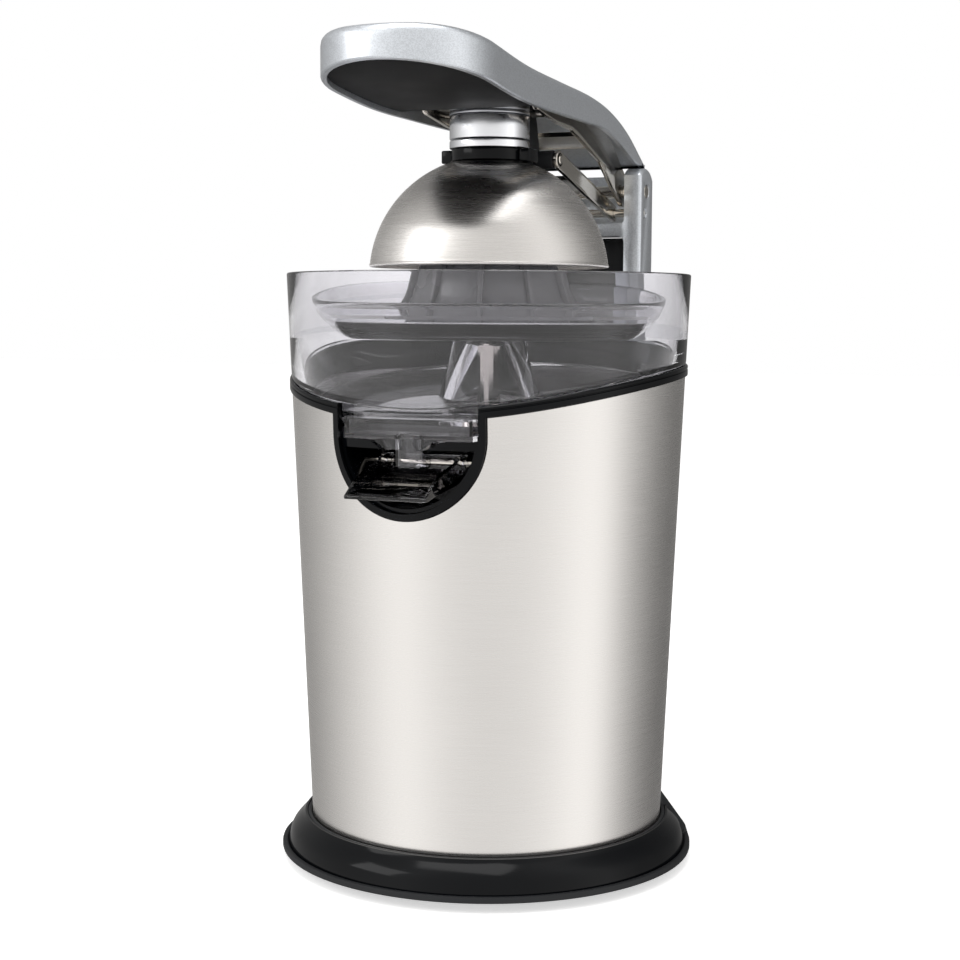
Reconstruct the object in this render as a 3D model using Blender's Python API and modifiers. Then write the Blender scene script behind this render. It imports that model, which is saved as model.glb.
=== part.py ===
"""Citrus press juicer: a lever-operated juicer with a motor-driven reaming cone.

Units are metres. The origin is on the worktop under the press axis, +Z is up, and the spout faces -Y.
"""

import math

import bmesh
import bpy

MM = 0.001
PI = math.pi

# Fits
GAP = 0.3 * MM  # between pieces that touch or seat on each other
RUN = 0.5 * MM  # between pieces that turn or slide past each other
STEPS = 36  # facets round a large turned piece
FINE_STEPS = 16  # facets round a small turned piece
BODY_STEPS = 48  # facets round the steel body

# Conical body
RIM_RADIUS = 87.5 * MM
RIM_HEIGHT = 255.7 * MM
BODY_TAPER = 0.0436  # growth of the radius with height
SHELL_WALL = 0.8 * MM
SHELL_BOTTOM = 18.0 * MM
SWOOP_DROP = 39.5 * MM  # parting line below the rim, at the back
SWOOP_DIP = 17.3 * MM  # further drop of the parting line towards the spout
TRIM_UP = 1.6 * MM
TRIM_DOWN = 3.0 * MM
TRIM_PROUD = 0.9 * MM
TRIM_DEPTH = 3.0 * MM

# Spout opening
OPENING_HALF = 34.0 * MM
OPENING_CENTRE = 190.0 * MM  # height of the centre of its round bottom
OPENING_BAND = 2.8 * MM
RECESS_WALL = 1.6 * MM
RECESS_BACK = -47.0 * MM
ROOF_TOP = 188.0 * MM
ROOF_THICK = 3.4 * MM
OUTLET_Y = -75.0 * MM
OUTLET_RADIUS = 7.6 * MM
OUTLET_BORE = 6.0 * MM
OUTLET_BOTTOM = 177.0 * MM

# Base
BASE_RADIUS = 90.5 * MM
BASE_BOTTOM = 4.3 * MM
LIP_TOP = 6.9 * MM
RING_TOP = 19.5 * MM
HUMP_TOP = 24.5 * MM
SKIRT_HALF_ANGLE = math.radians(116)
PLATE_THICK = 2.0 * MM
FOOT_RADIUS = 11.0 * MM
FOOT_PLACE = 48.0 * MM
SCREW_CIRCLE = 71.5 * MM
SCREW_RADIUS = 1.5 * MM

# Bowl and strainer
BOWL_WALL = 2.2 * MM
FLOOR_MIDDLE = 201.0 * MM
FLOOR_FALL = 7.0 * MM  # from the middle to the wall, at the spout
FLOOR_EDGE = 76.0 * MM
HUB_TOP = 226.0 * MM
HUB_BORE = 7.4 * MM
SUMP_HALF = 28.5 * MM
STRAINER_RIM_RADIUS = 76.8 * MM
STRAINER_RIM_HEIGHT = 242.0 * MM
DISH_RADIUS = 70.0 * MM
DISH_BOTTOM = 225.0 * MM
DISH_RISE = 9.5 * MM
DISH_WALL = 0.7 * MM
DISH_SLOTS = 12

# Reaming cone and drive
CONE_RADIUS = 45.5 * MM
CONE_BOTTOM = 231.3 * MM
CONE_TOP = 285.0 * MM
CONE_RIBS = 10
SHAFT_RADIUS = 5.0 * MM
SHAFT_TOP = 262.0 * MM
SHAFT_BOTTOM = 153.0 * MM
PRESS_TRAVEL = 2.5 * MM
DECK_TOP = 186.4 * MM
DECK_THICK = 3.0 * MM
GEAR_MODULE = 1.5 * MM
WHEEL_TEETH = 42
PINION_TEETH = 10
GEAR_SPACING = GEAR_MODULE * (WHEEL_TEETH + PINION_TEETH) / 2
MOTOR_RADIUS = 32.0 * MM
MOTOR_BOTTOM = 58.0 * MM
MOTOR_TOP = 134.0 * MM
GEARBOX_BOTTOM = 138.0 * MM
GEARBOX_TOP = 172.5 * MM
CHASSIS_RADIUS = 58.0 * MM
AXLE_RADIUS = 3.0 * MM

# Press dome and collar
DOME_RADIUS = 52.0 * MM
DOME_BOTTOM = 258.1 * MM
DOME_CENTRE = 254.1 * MM
DOME_FLAT = 303.3 * MM
DOME_WALL = 1.0 * MM
NECK_RADIUS = 16.5 * MM
NECK_TOP = 308.7 * MM
COLLAR_RADIUS = 17.3 * MM
COLLAR_CORE = 12.0 * MM
COLLAR_TOP = 331.0 * MM

# Post, lever and linkage; pivots are (y, z)
POST_HALF = 38.0 * MM
POST_WALL = 3.0 * MM
POST_FRONT = 90.0 * MM
POST_BACK = 107.5 * MM
POST_STRAIGHT = 262.0 * MM  # the post leans with the body up to here
POST_SHELF = 256.0 * MM  # front step, just above the bowl's rim
ROOM_BOTTOM = 34.0 * MM
WINDOW_HALF = 29.5 * MM
WINDOW_LOW = 205.0 * MM
CROSSBAR_LOW = 275.0 * MM
CROSSBAR_HIGH = 281.0 * MM
PIVOT_HANDLE = (98.0 * MM, 296.0 * MM)
PIVOT_LINK = (96.4 * MM, 286.1 * MM)
PIVOT_CARRIER = (20.0 * MM, 326.0 * MM)
PIVOT_OPEN = (26.0 * MM, 306.0 * MM)
HINGE_PIN = 3.0 * MM
SMALL_PIN = 2.0 * MM
KNUCKLE = 11.0 * MM  # radius of the post's rounded top about the handle pivot
HANDLE_HALF = 36.0 * MM
HANDLE_NOSE = -75.0 * MM
HANDLE_WALL = 2.4 * MM
FRAME_OUT = 27.0 * MM
FRAME_PLATE = 2.4 * MM
LINK_OUT = 22.5 * MM
LINK_PLATE = 2.0 * MM
LINK_OPEN = math.radians(52.3)

# Drip trough
TROUGH_PIVOT = (-63.0 * MM, 178.5 * MM)
TROUGH_HALF = 18.0 * MM
TROUGH_WALL = 1.6 * MM
TROUGH_PIN = 1.5 * MM

# Name, base colour, metallic, roughness, alpha
FINISHES = {
    "steel": ((0.62, 0.60, 0.57), 1.0, 0.32, 1.0),
    "polished_steel": ((0.70, 0.67, 0.63), 1.0, 0.12, 1.0),
    "silver_paint": ((0.50, 0.53, 0.58), 0.8, 0.38, 1.0),
    "satin_metal": ((0.66, 0.68, 0.71), 1.0, 0.30, 1.0),
    "gloss_black": ((0.015, 0.017, 0.022), 0.0, 0.12, 1.0),
    "matte_black": ((0.035, 0.036, 0.038), 0.0, 0.55, 1.0),
    "smoke": ((0.30, 0.30, 0.34), 0.0, 0.08, 0.5),
    "rubber": ((0.02, 0.02, 0.02), 0.0, 0.8, 1.0),
    "cone_plastic": ((0.10, 0.10, 0.11), 0.0, 0.4, 1.0),
    "gear_plastic": ((0.72, 0.70, 0.62), 0.0, 0.5, 1.0),
    "copper": ((0.55, 0.30, 0.18), 1.0, 0.4, 1.0),
    "bronze": ((0.50, 0.36, 0.20), 1.0, 0.4, 1.0),
}


def clear_scene():
    for obj in list(bpy.data.objects):
        bpy.data.objects.remove(obj)


def new_collection(name):
    collection = bpy.data.collections.new(name)
    bpy.context.scene.collection.children.link(collection)
    return collection


def finish(name):
    """The material of this name, made on first use."""
    if name in bpy.data.materials:
        return bpy.data.materials[name]
    colour, metallic, roughness, alpha = FINISHES[name]
    material = bpy.data.materials.new(name)
    material.use_nodes = True
    shader = material.node_tree.nodes["Principled BSDF"]
    shader.inputs["Base Color"].default_value = (*colour, 1.0)
    shader.inputs["Metallic"].default_value = metallic
    shader.inputs["Roughness"].default_value = roughness
    shader.inputs["Alpha"].default_value = alpha
    return material


def add_object(name, mesh, look):
    """A part when it has a look, otherwise a hidden cutter."""
    obj = bpy.data.objects.new(name, mesh)
    if look is None:
        CUTTERS.objects.link(obj)
        obj.hide_render = True
        obj.display_type = "WIRE"
        return obj
    PARTS.objects.link(obj)
    mesh.materials.clear()
    mesh.materials.append(finish(look))
    return obj


def smooth(mesh, angle=35):
    mesh.shade_smooth()
    mesh.set_sharp_from_angle(angle=math.radians(angle))


def body_radius(z):
    """Outer radius of the conical body at a height."""
    return RIM_RADIUS - (RIM_HEIGHT - z) * BODY_TAPER


def parting(angle):
    """Height of the line between bowl and steel body, at an angle from the spout."""
    return RIM_HEIGHT - SWOOP_DROP - SWOOP_DIP * ((1 + math.cos(angle)) / 2) ** 3


def arc(u, v, radius, start, end, count):
    """Points on an arc about (u, v), with angles in degrees."""
    angles = [math.radians(start + (end - start) * i / (count - 1)) for i in range(count)]
    return [(u + radius * math.cos(a), v + radius * math.sin(a)) for a in angles]


def turned(name, profile, look, steps=STEPS, place=(0, 0, 0)):
    """A closed (r, z) profile turned about Z. Its outer side runs from top to bottom."""
    mesh = bpy.data.meshes.new(name)
    on_axis = profile[0][0] == 0 and profile[-1][0] == 0
    count = len(profile)
    edges = [(i, (i + 1) % count) for i in range(count - 1 if on_axis else count)]
    mesh.from_pydata([(r, 0, z) for r, z in profile], edges, [])
    obj = add_object(name, mesh, look)
    obj.location = place
    screw = obj.modifiers.new("Turn", "SCREW")
    screw.steps = screw.render_steps = steps
    screw.use_merge_vertices = True
    screw.merge_threshold = 0.00001
    screw.use_smooth_shade = False
    return obj


def cylinder(name, radius, start, end, look, axis="Z", steps=FINE_STEPS):
    """A cylinder between two points that lie along one axis."""
    bpy.ops.mesh.primitive_cylinder_add(vertices=steps, radius=radius, depth=math.dist(start, end))
    obj = bpy.context.object
    mesh = obj.data
    bpy.data.objects.remove(obj)
    made = add_object(name, mesh, look)
    made.location = [(a + b) / 2 for a, b in zip(start, end)]
    made.rotation_euler = {"X": (0, PI / 2, 0), "Y": (PI / 2, 0, 0), "Z": (0, 0, 0)}[axis]
    return made


def block(name, low, high, look, bevel=0.0):
    bpy.ops.mesh.primitive_cube_add(size=1)
    obj = bpy.context.object
    mesh = obj.data
    bpy.data.objects.remove(obj)
    sides = [b - a for a, b in zip(low, high)]
    for vertex in mesh.vertices:
        vertex.co = [c * side for c, side in zip(vertex.co, sides)]
    made = add_object(name, mesh, look)
    made.location = [(a + b) / 2 for a, b in zip(low, high)]
    if bevel:
        rounding = made.modifiers.new("Rounded edges", "BEVEL")
        rounding.width = bevel
        rounding.segments = 2
    return made


def plate(name, outline, plane, low, high, look):
    """A flat outline given thickness: plane XY, YZ or XZ, from low to high along the third axis."""
    curve = bpy.data.curves.new(name, "CURVE")
    curve.dimensions = "2D"
    curve.fill_mode = "BOTH"
    curve.extrude = (high - low) / 2
    spline = curve.splines.new("POLY")
    spline.points.add(len(outline) - 1)
    for point, (u, v) in zip(spline.points, outline):
        point.co = (u, v, 0, 1)
    spline.use_cyclic_u = True
    flat = bpy.data.objects.new(name + " outline", curve)
    bpy.context.scene.collection.objects.link(flat)
    graph = bpy.context.evaluated_depsgraph_get()
    mesh = bpy.data.meshes.new_from_object(flat.evaluated_get(graph))
    bpy.data.objects.remove(flat)
    work = bmesh.new()
    work.from_mesh(mesh)
    bmesh.ops.remove_doubles(work, verts=work.verts, dist=0.000001)
    bmesh.ops.recalc_face_normals(work, faces=work.faces)
    work.to_mesh(mesh)
    work.free()
    mesh.name = name
    obj = add_object(name, mesh, look)
    middle = (low + high) / 2
    obj.rotation_euler = {"XY": (0, 0, 0), "YZ": (PI / 2, 0, PI / 2), "XZ": (PI / 2, 0, 0)}[plane]
    obj.location = {"XY": (0, 0, middle), "YZ": (middle, 0, 0), "XZ": (0, middle, 0)}[plane]
    return obj


def swept_ring(name, section, look, start=-PI, end=PI, steps=STEPS):
    """A ring round Z whose closed (r, z) section changes with the angle from the spout.

    A Screw can't follow the swooping parting line, so the sections are joined here."""
    whole = abs(end - start - 2 * PI) < 1e-6
    count = steps if whole else steps + 1
    work = bmesh.new()
    rows = []
    for i in range(count):
        angle = start + (end - start) * i / steps
        points = section(angle)
        rows.append([work.verts.new((r * math.sin(angle), -r * math.cos(angle), z)) for r, z in points])
    size = len(rows[0])
    pairs = list(zip(rows, rows[1:] + rows[:1] if whole else rows[1:]))
    for here, there in pairs:
        for j in range(size):
            k = (j + 1) % size
            work.faces.new((here[j], here[k], there[k], there[j]))
    if not whole:
        work.faces.new(rows[0])
        work.faces.new(rows[-1])
    bmesh.ops.recalc_face_normals(work, faces=work.faces)
    mesh = bpy.data.meshes.new(name)
    work.to_mesh(mesh)
    work.free()
    smooth(mesh)
    return add_object(name, mesh, look)


def boolean(target, tool, operation):
    modifier = target.modifiers.new(f"{operation.title()} {tool.name}", "BOOLEAN")
    modifier.operation = operation
    modifier.object = tool
    return target


def cut(target, *tools):
    for tool in tools:
        boolean(target, tool, "DIFFERENCE")
    return target


def use_manifold(*targets):
    """The exact solver leaves open edges on these objects, so they take the manifold one."""
    for target in targets:
        for modifier in target.modifiers:
            if modifier.type == "BOOLEAN":
                modifier.solver = "MANIFOLD"


def join(target, *tools):
    for tool in tools:
        boolean(target, tool, "UNION")
    return target


def keep(target, tool):
    return boolean(target, tool, "INTERSECT")


def u_outline(half, top=OPENING_CENTRE + 60 * MM):
    """The spout opening's outline in (x, z): a round bottom, and straight sides where it is tall enough."""
    if top < OPENING_CENTRE:
        lean = math.degrees(math.asin((OPENING_CENTRE - top) / half))
        return arc(0, OPENING_CENTRE, half, 180 + lean, 360 - lean, 21)
    return arc(0, OPENING_CENTRE, half, 180, 360, 21) + [(half, top), (-half, top)]


def body_plug(name, inset, low, high):
    """A solid cone that lies inset from the body's outer surface."""
    profile = [
        (0, high),
        (body_radius(high) - inset, high),
        (body_radius(low) - inset, low),
        (0, low),
    ]
    return turned(name, profile, None, steps=BODY_STEPS)


def make_base():
    wall_out = body_radius(SHELL_BOTTOM)
    groove_out = wall_out + 2 * GAP
    groove_in = wall_out - SHELL_WALL - 2 * GAP
    housing = turned(
        "base_housing",
        [
            (groove_out, RING_TOP),
            (groove_out + 1.6 * MM, RING_TOP),
            (groove_out + 1.6 * MM, SHELL_BOTTOM),
            (BASE_RADIUS - 3.0 * MM, LIP_TOP - 1.6 * MM),
            (BASE_RADIUS - 2.1 * MM, LIP_TOP - 1.6 * MM),
            (BASE_RADIUS - 2.1 * MM, LIP_TOP),
            (BASE_RADIUS, LIP_TOP),
            (BASE_RADIUS, BASE_BOTTOM),
            (BASE_RADIUS - 5.1 * MM, BASE_BOTTOM),
            (BASE_RADIUS - 5.1 * MM, LIP_TOP),
            (groove_in - 2.5 * MM, SHELL_BOTTOM - 1.0 * MM),
            (groove_in - 2.5 * MM, SHELL_BOTTOM + 9.0 * MM),
            (groove_in, SHELL_BOTTOM + 9.0 * MM),
            (groove_in, SHELL_BOTTOM - GAP),
            (groove_out, SHELL_BOTTOM - GAP),
        ],
        "matte_black",
    )

    def hump(angle):
        low = LIP_TOP - 2.0 * MM
        return [
            (groove_out, HUMP_TOP),
            (groove_out + 1.6 * MM, HUMP_TOP),
            (BASE_RADIUS - 1.0 * MM, LIP_TOP + 3.2 * MM),
            (BASE_RADIUS, LIP_TOP),
            (BASE_RADIUS, low),
            (BASE_RADIUS - 3.5 * MM, low),
            (groove_out, SHELL_BOTTOM - 2.0 * MM),
        ]

    join(housing, swept_ring("rear hump", hump, None, SKIRT_HALF_ANGLE, 2 * PI - SKIRT_HALF_ANGLE, 18))
    inner = (BASE_RADIUS - 3.0 * MM, LIP_TOP - 1.6 * MM)
    top = (groove_out + 1.6 * MM, SHELL_BOTTOM)

    def skirt(angle):
        return [
            (top[0] + GAP, RING_TOP),
            (top[0] + 1.4 * MM, RING_TOP),
            (BASE_RADIUS - 2.7 * MM, LIP_TOP + 1.2 * MM),
            (BASE_RADIUS - 2.7 * MM, inner[1] + GAP),
            (inner[0] + GAP, inner[1] + GAP),
            (top[0] + GAP, top[1] + GAP),
        ]

    edge = SKIRT_HALF_ANGLE - 2 * GAP / BASE_RADIUS
    swept_ring("base_skirt", skirt, "gloss_black", -edge, edge, 36)
    for x, y in screw_places():
        low = BASE_BOTTOM + GAP + PLATE_THICK + GAP
        boss = cylinder("boss", 4.2 * MM, (x, y, low), (x, y, SHELL_BOTTOM - 0.8 * MM), None)
        hole = cylinder("boss hole", SCREW_RADIUS + GAP, (x, y, 0), (x, y, SHELL_BOTTOM - 3.0 * MM), None)
        join(housing, boss)
        cut(housing, hole)
    gland_z = 13.0 * MM
    gland_radius = 4.5 * MM
    mouth = (0, BASE_RADIUS - 8.0 * MM, gland_z)
    end = (0, BASE_RADIUS + 2.5 * MM, gland_z)
    gland = cylinder("cord_gland", gland_radius, mouth, end, "rubber", "Y")
    cut(gland, cylinder("gland bore", 3.0 * MM, (0, 0, gland_z), (0, 0.2, gland_z), None, "Y"))
    hole = cylinder("gland hole", gland_radius + GAP, (0, 0.06, gland_z), (0, 0.12, gland_z), None, "Y")
    cut(housing, hole)


def screw_places():
    angles = [math.radians(22.5 + 90 * i) for i in range(4)]
    return [(SCREW_CIRCLE * math.cos(a), SCREW_CIRCLE * math.sin(a)) for a in angles]


def make_underside():
    low = BASE_BOTTOM + GAP
    high = low + PLATE_THICK
    radius = BASE_RADIUS - 5.1 * MM - GAP
    cover = cylinder("base_plate", radius, (0, 0, low), (0, 0, high), "matte_black", steps=STEPS)
    for i in range(6):
        angle = 2 * PI * i / 6
        slot = block("vent", (18 * MM, -2 * MM, 0), (40 * MM, 2 * MM, 0.02), None)
        middle = 29 * MM
        slot.location = (middle * math.cos(angle), middle * math.sin(angle), 0.01)
        slot.rotation_euler = (0, 0, angle)
        cut(cover, slot)
    stem = 3.0 * MM
    for i, (x, y) in enumerate(((-1, -1), (1, -1), (1, 1), (-1, 1)), 1):
        place = (x * FOOT_PLACE, y * FOOT_PLACE)
        profile = [
            (0, high + 1.0 * MM),
            (stem, high + 1.0 * MM),
            (stem, low - GAP),
            (5.0 * MM, low - GAP),
            (5.0 * MM, 2.8 * MM),
            (FOOT_RADIUS - 1.0 * MM, 2.0 * MM),
            (FOOT_RADIUS, 0.8 * MM),
            (FOOT_RADIUS, 0),
            (0, 0),
        ]
        turned(f"foot_{i}", profile, "rubber", FINE_STEPS, (*place, 0))
        cut(cover, cylinder("foot hole", stem + GAP, (*place, 0), (*place, 0.02), None))
    for i, (x, y) in enumerate(screw_places(), 1):
        head = low - GAP
        profile = [
            (0, head + 9.0 * MM),
            (SCREW_RADIUS, head + 9.0 * MM),
            (SCREW_RADIUS, head),
            (3.0 * MM, head),
            (3.0 * MM, head - 1.4 * MM),
            (0, head - 1.4 * MM),
        ]
        turned(f"plate_screw_{i}", profile, "polished_steel", 12, (x, y, 0))
        cut(cover, cylinder("screw hole", SCREW_RADIUS + GAP, (x, y, 0), (x, y, 0.02), None))


def make_body():
    def shell(angle):
        top = parting(angle) - TRIM_DOWN - GAP
        return [
            (body_radius(top), top),
            (body_radius(SHELL_BOTTOM), SHELL_BOTTOM),
            (body_radius(SHELL_BOTTOM) - SHELL_WALL, SHELL_BOTTOM),
            (body_radius(top) - SHELL_WALL, top),
        ]

    skin = swept_ring("body_shell", shell, "steel", steps=BODY_STEPS)
    cut(skin, plate("opening", u_outline(OPENING_HALF + GAP), "XZ", -0.12, -0.04, None))

    def trim(angle):
        line = parting(angle)
        radius = body_radius(line)
        spigot = line - TRIM_DOWN - 8.0 * MM
        tongue = body_radius(spigot) - SHELL_WALL - GAP
        return [
            (radius + 0.4 * MM, line + TRIM_UP),
            (radius + TRIM_PROUD, line),
            (radius + TRIM_PROUD, line - TRIM_DOWN),
            (tongue, line - TRIM_DOWN),
            (tongue, spigot),
            (tongue - 1.6 * MM, spigot),
            (radius - TRIM_DEPTH, line - TRIM_DOWN),
            (radius - TRIM_DEPTH, line + TRIM_UP),
        ]

    ring = swept_ring("top_trim", trim, "gloss_black", steps=BODY_STEPS)
    band = plate("band", u_outline(OPENING_HALF, OPENING_CENTRE + 8.0 * MM), "XZ", -0.12, -0.06, None)
    keep(band, body_plug("band outside", -TRIM_PROUD, 0.12, 0.22))
    cut(band, body_plug("band inside", TRIM_DEPTH, 0.10, 0.24))

    def above(angle):
        line = parting(angle) - 1.0 * MM
        return [(0.1, line + 0.05), (0.1, line), (0.06, line), (0.06, line + 0.05)]

    cut(band, swept_ring("above the line", above, None))
    join(ring, band)
    inner = OPENING_HALF - OPENING_BAND
    cut(ring, plate("inner opening", u_outline(inner), "XZ", -0.12, -0.04, None))


def make_recess():
    """The black pocket behind the spout opening, and the deck that closes the body's top."""
    outer = OPENING_HALF - OPENING_BAND - GAP
    pocket = plate("spout_recess", u_outline(outer, ROOF_TOP), "XZ", -0.1, RECESS_BACK, "gloss_black")
    keep(pocket, body_plug("pocket front", 1.4 * MM, 0.12, 0.22))
    roof = ROOF_TOP - ROOF_THICK
    hollow = u_outline(outer - RECESS_WALL, roof)
    cut(pocket, plate("pocket hollow", hollow, "XZ", -0.12, RECESS_BACK - RECESS_WALL, None))
    low = roof - 1.0 * MM
    mouth = 16 * MM
    throat = OUTLET_RADIUS + 1.2 * MM
    cradle = [(-mouth, 0.2), (-mouth, ROOF_TOP), (-throat, low)]
    cradle += [(-x, z) for x, z in reversed(cradle)]
    slot_back = OUTLET_Y + OUTLET_RADIUS + 1.2 * MM
    cut(pocket, plate("cradle", cradle, "XZ", -0.12, slot_back, None))
    y, z = TROUGH_PIVOT
    reach = OPENING_HALF
    cut(pocket, cylinder("trough pin hole", TROUGH_PIN + GAP, (-reach, y, z), (reach, y, z), None, "X"))
    half = outer - 0.4 * MM
    cylinder("trough_pin", TROUGH_PIN, (-half, y, z), (half, y, z), "polished_steel", "X", 16)

    deck_low = DECK_TOP - DECK_THICK
    boss = 11.0 * MM
    edge = body_radius(deck_low) - SHELL_WALL - 2 * GAP
    deck = turned(
        "top_deck",
        [
            (bush_outer() + GAP, DECK_TOP),
            (edge, DECK_TOP),
            (edge, deck_low),
            (boss + 2 * MM, deck_low),
            (bush_outer() + GAP, deck_low),
        ],
        "matte_black",
    )
    notch = u_outline(OPENING_HALF + GAP)
    cut(deck, plate("deck notch", notch, "XZ", -0.12, RECESS_BACK + GAP, None))


def bush_outer():
    return SHAFT_RADIUS + RUN + 2.6 * MM


def floor_height(radius, angle):
    """Top of the bowl's floor, which slopes down to the spout."""
    return FLOOR_MIDDLE - FLOOR_FALL * radius / FLOOR_EDGE * math.cos(angle)


def make_bowl():
    neck = HUB_BORE + 3.2 * MM
    shoulder = neck + 4.0 * MM
    foot = shoulder + 7.0 * MM
    ledge = DISH_BOTTOM - GAP

    def section(angle):
        low = parting(angle) + TRIM_UP + GAP
        spigot = body_radius(low) - TRIM_DEPTH - 3 * GAP
        middle = 0.228
        return [
            (RIM_RADIUS, RIM_HEIGHT),
            (body_radius(low), low),
            (spigot, low),
            (spigot, floor_height(spigot, angle) + 2.0 * MM),
            (spigot - 4.0 * MM, floor_height(spigot, angle) - BOWL_WALL),
            (foot - 2 * BOWL_WALL, floor_height(foot, angle) - BOWL_WALL),
            (HUB_BORE, ledge - 5.0 * MM),
            (HUB_BORE, HUB_TOP),
            (neck, HUB_TOP),
            (neck, ledge),
            (shoulder, ledge),
            (foot, floor_height(foot, angle)),
            (FLOOR_EDGE, floor_height(FLOOR_EDGE, angle)),
            (FLOOR_EDGE + 2.6 * MM, floor_height(FLOOR_EDGE, angle) + 4.5 * MM),
            (body_radius(middle) - BOWL_WALL, middle),
            (RIM_RADIUS - BOWL_WALL, RIM_HEIGHT),
        ]

    bowl = swept_ring("juice_bowl", section, "smoke", steps=40)
    low = ROOF_TOP + GAP
    floor_front = floor_height(FLOOR_EDGE, 0)
    inner_end = OUTLET_Y + 16 * MM
    sump = block("sump", (-SUMP_HALF, -0.1, low), (SUMP_HALF, inner_end, floor_front + 3 * MM), None)
    keep(sump, body_plug("sump front", 0.8 * MM, 0.12, 0.22))
    wall = 2.0 * MM
    hollow = block(
        "sump hollow",
        (-SUMP_HALF + wall, -0.1, low + wall),
        (SUMP_HALF - wall, inner_end - wall, floor_front + 2 * MM),
        None,
    )
    keep(hollow, body_plug("sump hollow front", 0.8 * MM + wall, 0.12, 0.22))
    mouth = 14.6 * MM
    tip = ROOF_TOP - ROOF_THICK - 0.2 * MM
    spread = OUTLET_RADIUS + 0.3 * MM
    vee = [(-mouth, low + 0.5 * MM), (-spread, tip), (spread, tip), (mouth, low + 0.5 * MM)]
    funnel = plate("funnel", vee, "XZ", -0.1, OUTLET_Y + OUTLET_RADIUS, None)
    keep(funnel, body_plug("funnel front", 0.8 * MM, 0.12, 0.22))
    outlet = (0, OUTLET_Y, OUTLET_BOTTOM)
    tube = cylinder("outlet", OUTLET_RADIUS, outlet, (0, OUTLET_Y, low + 1.5 * MM), None)
    bore = cylinder("outlet bore", OUTLET_BORE, (0, OUTLET_Y, 0.17), (0, OUTLET_Y, low + 3 * MM), None)
    join(bowl, sump, funnel, tube)
    cut(bowl, hollow, bore)
    use_manifold(bowl, sump, hollow, funnel)


def dish_height(radius):
    return DISH_BOTTOM + DISH_RISE * (radius / DISH_RADIUS) ** 6


def make_strainer():
    inner = HUB_BORE + 3.2 * MM + 2 * GAP
    radii = [DISH_RADIUS, 66 * MM, 61 * MM, 54 * MM, 42 * MM, inner]
    under = [(r, dish_height(r)) for r in radii]
    over = [(r, dish_height(r) + DISH_WALL) for r in reversed(radii)]
    dish = turned("strainer_dish", under + over, "steel")
    start = 47 * MM
    stop = 59 * MM
    for i in range(DISH_SLOTS):
        angle = 2 * PI * i / DISH_SLOTS
        slot = block("slot", (start, -0.9 * MM, 0.22), (stop, 0.9 * MM, 0.24), None)
        middle = (start + stop) / 2
        slot.location = (middle * math.cos(angle), middle * math.sin(angle), 0.23)
        slot.rotation_euler = (0, 0, angle)
        cut(dish, slot)
    rim = STRAINER_RIM_RADIUS
    top = STRAINER_RIM_HEIGHT
    wall = 1.8 * MM
    seat = [70.7 * MM, 66 * MM, 61 * MM]
    lower = [(r, dish_height(r) - GAP - wall) for r in seat]
    upper = [(r, dish_height(r) - GAP) for r in reversed(seat)]
    outside = [(rim, top), (rim - 0.6 * MM, top - 2.4 * MM), (rim - 3.0 * MM, top - 6.4 * MM)]
    inside = [(rim - 4.2 * MM, top - 4.6 * MM), (rim - 2.2 * MM, top)]
    turned("strainer_ring", outside + lower + upper + inside, "smoke")


def make_cone():
    socket = SHAFT_RADIUS + GAP
    sleeve = socket + 2.9 * MM
    foot = CONE_BOTTOM
    wall = 2.1 * MM
    outer = [(5.0, 1.0), (14.0, 7.0), (24.0, 19.0), (30.5, 33.0), (34.5, 44.0), (39.5, 48.6)]
    outer = [(r * MM, CONE_TOP - drop * MM) for r, drop in outer]
    skirt = [(CONE_RADIUS, foot + 2.3 * MM), (CONE_RADIUS, foot), (CONE_RADIUS - wall, foot)]
    inner = [(r - wall * 1.1, z - wall * 0.8) for r, z in reversed(outer[1:])]
    core = [
        (sleeve, CONE_TOP - 9.5 * MM),
        (sleeve, foot + 1.1 * MM),
        (socket, foot + 1.1 * MM),
        (socket, SHAFT_TOP + GAP),
        (0, SHAFT_TOP + GAP),
    ]
    cone = turned("reamer_cone", [(0, CONE_TOP)] + outer + skirt + inner + core, "cone_plastic")
    proud = 2.6 * MM
    ridge = [(r + proud, z + 0.4 * MM) for r, z in outer[1:]]
    root = [(r - 1.0 * MM, z - 0.5 * MM) for r, z in reversed(outer[1:])]
    for i in range(CONE_RIBS):
        rib = plate("rib", ridge + root, "XZ", -1.0 * MM, 1.0 * MM, None)
        rib.rotation_euler = (PI / 2, 0, 2 * PI * i / CONE_RIBS)
        rib.location = (0, 0, 0)
        join(cone, rib)


def gear_outline(teeth, first):
    """Straight-sided teeth about the origin; first is the angle in degrees of one tooth's middle."""
    pitch = GEAR_MODULE * teeth / 2
    tip = pitch + 0.55 * GEAR_MODULE
    root = pitch - 0.8 * GEAR_MODULE
    points = []
    for i in range(teeth):
        for radius, share in ((root, -0.27), (tip, -0.13), (tip, 0.13), (root, 0.27)):
            angle = math.radians(first + 360 * (i + share) / teeth)
            points.append((radius * math.cos(angle), radius * math.sin(angle)))
    return points


def gear(name, teeth, first, low, high, look, y=0.0):
    made = plate(name, gear_outline(teeth, first), "XY", low, high, look)
    made.location.y = y
    return made


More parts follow.
